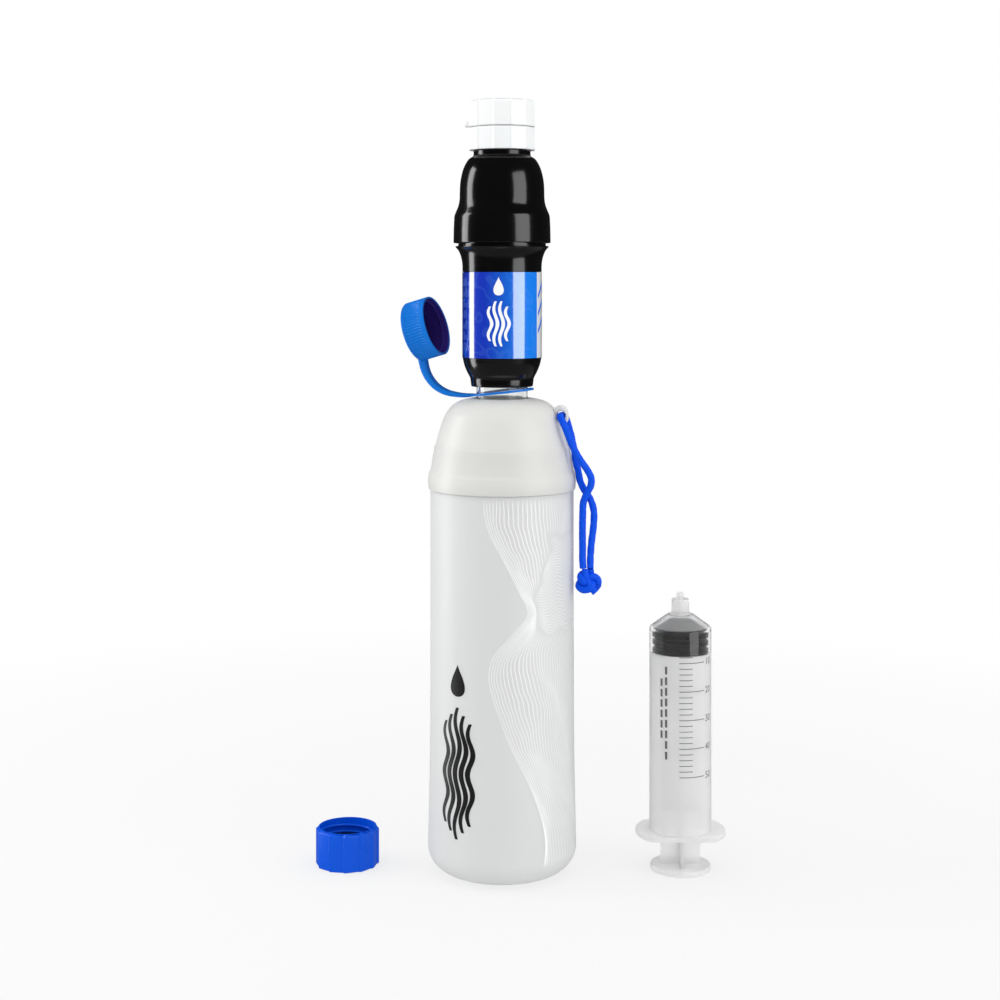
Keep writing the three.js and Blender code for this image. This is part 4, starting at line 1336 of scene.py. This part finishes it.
def between(value, stops):
    """A smooth curve through (height, value) stops in falling height."""
    if value >= stops[0][0]:
        return stops[0][1]
    for i in range(len(stops) - 1):
        (high_z, a), (low_z, b) = stops[i], stops[i + 1]
        if value >= low_z:
            before, after = stops[max(i - 1, 0)], stops[min(i + 2, len(stops) - 1)]
            rise = (high_z - low_z) / 2
            leave = (b - before[1]) / (before[0] - low_z) * 2 * rise
            arrive = (after[1] - a) / (high_z - after[0]) * 2 * rise
            t = (high_z - value) / (high_z - low_z)
            return (
                a * (1 + 2 * t) * (1 - t) ** 2 + b * t * t * (3 - 2 * t)
                + leave * t * (1 - t) ** 2 - arrive * t * t * (1 - t)
            )
    return stops[-1][1]


EDGE_OF_HILLS = [
    (184, -9), (175, -8), (166, -5), (155, 1), (141, 8), (130, 12.5), (121, 5.5), (111, -3.5),
    (101, -6.2), (90, -4), (80, -0.5), (70, 3.2), (60, 8), (50, 13), (40, 17), (30, 20), (20, 21.3),
    (9, 19.8),
]
SPREAD_OF_LINES = [
    (184, 1.15), (160, 0.9), (131, 0.4), (118, 0.85), (96, 1.05), (60, 0.8), (30, 0.7), (9, 0.75),
]
BUNCHING = [(184, 0.0), (150, 0.1), (131, 0.1), (100, 0.1), (80, 0.35), (45, 0.45), (20, 0.3), (9, 0.2)]
LINE_SPACING = 1.62
LINE_WIDTH = 0.42
SHORTEST_LINE = 6       # points
PRINT_TOP = 184.0
SADDLE = 131            # height of the dip between the two hills
WALL_RADIUS = 35
FARTHEST = WALL_RADIUS * math.radians(112)


def contour_line(k, z):
    """Distance round the bottle of the k-th contour at this height, from the front."""
    offset = LINE_SPACING * k * between(z, SPREAD_OF_LINES)
    offset *= 1 - between(z, BUNCHING) * math.exp(-k / 4)
    swell = noise.noise(Vector((k * 0.07, z * 0.03, 1.7))) * 6.5 * min(1.0, k / 8)
    ripple = noise.noise(Vector((k * 0.2, z * 0.12, 8.1))) * 1.0 * min(1.0, k / 4)
    return between(z, EDGE_OF_HILLS) + offset + swell + ripple


def in_hatching(u, z):
    """The wedge above and to the right of the saddle, where short arcs run across."""
    frayed = 5 * noise.noise(Vector((u * 0.11, z * 0.11, 5.2)))
    return u > 14 + 0.3 * abs(z - SADDLE) + frayed and 121 + frayed < z < 172 - 0.25 * (u - 20) + 2 * frayed


def ribbon(vertices, faces, line, width):
    """Adds a thin band along (round, up) points on the bottle's wall."""
    start = len(vertices)
    for i, (u, z) in enumerate(line):
        ahead, behind = line[min(i + 1, len(line) - 1)], line[max(i - 1, 0)]
        along = Vector((ahead[0] - behind[0], ahead[1] - behind[1])).normalized()
        ends = min(1.0, (min(i, len(line) - 1 - i) + 0.6) / 4)
        for side in (-1, 1):
            across = u - along.y * side * width * ends / 2
            up = z + along.x * side * width * ends / 2
            radius = bottle_radius(up) + 0.05
            angle = across / WALL_RADIUS
            vertices.append((radius * math.sin(angle), -radius * math.cos(angle), up))
    for i in range(len(line) - 1):
        a = start + 2 * i
        faces.append([a, a + 1, a + 3, a + 2])


def hill_line(k):
    """Points of the k-th contour going down, each with whether it is drawn."""
    for step in range(250):
        z = PRINT_TOP - 0.7 * step
        u = contour_line(k, z)
        yield (u, z), u < FARTHEST and not in_hatching(u, z)


def hatch_line(m):
    """Points of the m-th arc across the saddle, each with whether it is drawn."""
    for step in range(70):
        u = 12 + 0.7 * step
        climb = (u - 12) / 22
        z = SADDLE + (m - 9) * 0.6 + (m - 8) * 1.25 * climb ** 0.8
        z += 2.2 * min(1.0, climb) * math.sin(u / 2.2 + m * 0.1)
        z += noise.noise(Vector((u * 0.12, m * 0.12, 3.3))) * 2.4
        yield (u, z), u < FARTHEST and in_hatching(u - 0.5, z)


def make_contours():
    """A made-up hillside in fine white contour lines, on the right of the front."""
    vertices, faces = [], []
    for points in [hill_line(k) for k in range(50)] + [hatch_line(m) for m in range(34)]:
        line = []
        for point, drawn in [*points, (None, False)]:
            if drawn:
                line.append(point)
                continue
            if len(line) > SHORTEST_LINE:
                ribbon(vertices, faces, line, LINE_WIDTH)
            line = []
    piece = add_object("bottle_contours", vertices, faces, 180)
    return dress(piece, ink_pale, "bottle", "frosted_plastic")


make_bottle_mark()
make_contours()


# ---------------------------------------------------------------- CAD nodes that stay
for node, material in {
    "shoulder_gasket": grey_rubber, "inlet_gasket": grey_rubber, "outlet_gasket": grey_rubber,
    "housing_o_ring": rubber, "fibre_bundle": fibre, "potting_disc": resin,
}.items():
    repaint(node, material)


# ---------------------------------------------------------------- stage and light
def make_stage():
    """A pale floor that fades out with distance and shows little in reflections."""
    corners = [(x, y, -0.05) for x, y in ((-1500, -1500), (1500, -1500), (1500, 1500), (-1500, 1500))]
    floor = add_object("floor", corners, [(0, 1, 2, 3)])
    n = Nodes("pale_floor")
    n.tree.nodes.remove(n.shader)
    diffuse = n.add("ShaderNodeBsdfDiffuse")
    diffuse.inputs["Color"].default_value = (0.2, 0.2, 0.2, 1)
    glow = n.add("ShaderNodeEmission")
    glow.inputs["Strength"].default_value = 0.71
    both = n.add("ShaderNodeAddShader")
    n.link(diffuse.outputs[0], both.inputs[0])
    n.link(glow.outputs[0], both.inputs[1])
    away = n.add("ShaderNodeBsdfTransparent")
    place = n.add("ShaderNodeVectorMath", operation="LENGTH")
    n.link(n.place(), place.inputs[0])
    fade = n.span(place.outputs["Value"], 0.24, 0.62)
    gloss = n.math("MULTIPLY", n.add("ShaderNodeLightPath").outputs["Is Glossy Ray"], 0.85)
    fade = n.math("MAXIMUM", fade, gloss)
    soft = n.add("ShaderNodeMixShader")
    for socket, source in zip(soft.inputs, (fade, both.outputs[0], away.outputs[0])):
        n.link(source, socket)
    n.link(soft.outputs[0], n.tree.nodes["Material Output"].inputs["Surface"])
    floor.data.materials.append(n.material)
    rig.stage(floor)


def make_world():
    """White to the camera and through clear pieces, softer to diffuse rays, almost black to gloss."""
    world = bpy.data.worlds.new("studio")
    bpy.context.scene.world = world
    world.use_nodes = True
    nodes, links = world.node_tree.nodes, world.node_tree.links
    nodes.clear()

    def background(strength, color=None):
        node = nodes.new("ShaderNodeBackground")
        node.inputs["Strength"].default_value = strength
        if color:
            node.inputs["Color"].default_value = color
        return node.outputs[0]

    def wire(kind, *sources):
        node = nodes.new(kind)
        for socket, source in zip(node.inputs, sources):
            links.new(source, socket)
        return node

    white = (1, 1, 1, 1)
    path = nodes.new("ShaderNodeLightPath").outputs
    unseen = wire("ShaderNodeMixShader", path["Is Glossy Ray"], background(0.9, white), background(0.03))
    either = wire("ShaderNodeMath", path["Is Camera Ray"], path["Is Transmission Ray"])
    either.operation = "MAXIMUM"
    both = wire("ShaderNodeMixShader", either.outputs[0], unseen.outputs[0], background(1.0, white))
    wire("ShaderNodeOutputWorld", both.outputs[0])


LIGHTS_AIM = Vector((0, 0, 0.2))


def softbox(name, azimuth, distance, height, width, tall, radiance, gloss_only=False):
    """An area light standing round the object; azimuth 0 is at the camera, growing towards +X."""
    data = bpy.data.lights.new(name, "AREA")
    data.shape = "RECTANGLE"
    data.size = width
    data.size_y = tall
    data.energy = radiance * math.pi * width * tall
    lamp = linked(name, data)
    angle = math.radians(azimuth)
    place = Vector((distance * math.sin(angle), -distance * math.cos(angle), height))
    lamp.location = place
    lamp.rotation_euler = (LIGHTS_AIM - place).to_track_quat("-Z", "Y").to_euler()
    lamp.visible_camera = False
    lamp.visible_transmission = False
    lamp.visible_diffuse = not gloss_only
    lamp.visible_glossy = gloss_only
    return lamp


make_stage()
make_world()
softbox("left_gloss", -98, 0.75, 0.28, 0.26, 0.9, 5.0, True)
softbox("right_gloss", 50, 0.95, 0.34, 0.62, 0.95, 2.8, True)
softbox("left_light", -92, 0.75, 0.28, 0.4, 0.9, 2.1)
softbox("right_light", 62, 0.95, 0.34, 0.62, 0.95, 1.1)
softbox("top_light", 0, 0.25, 1.15, 1.2, 1.0, 0.9)
bpy.context.scene.view_settings.view_transform = "Standard"

json.dump({"cad": [list(v) for v in cad_box], "visual": [list(v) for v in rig.bounds()]}, open("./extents.json", "w"))
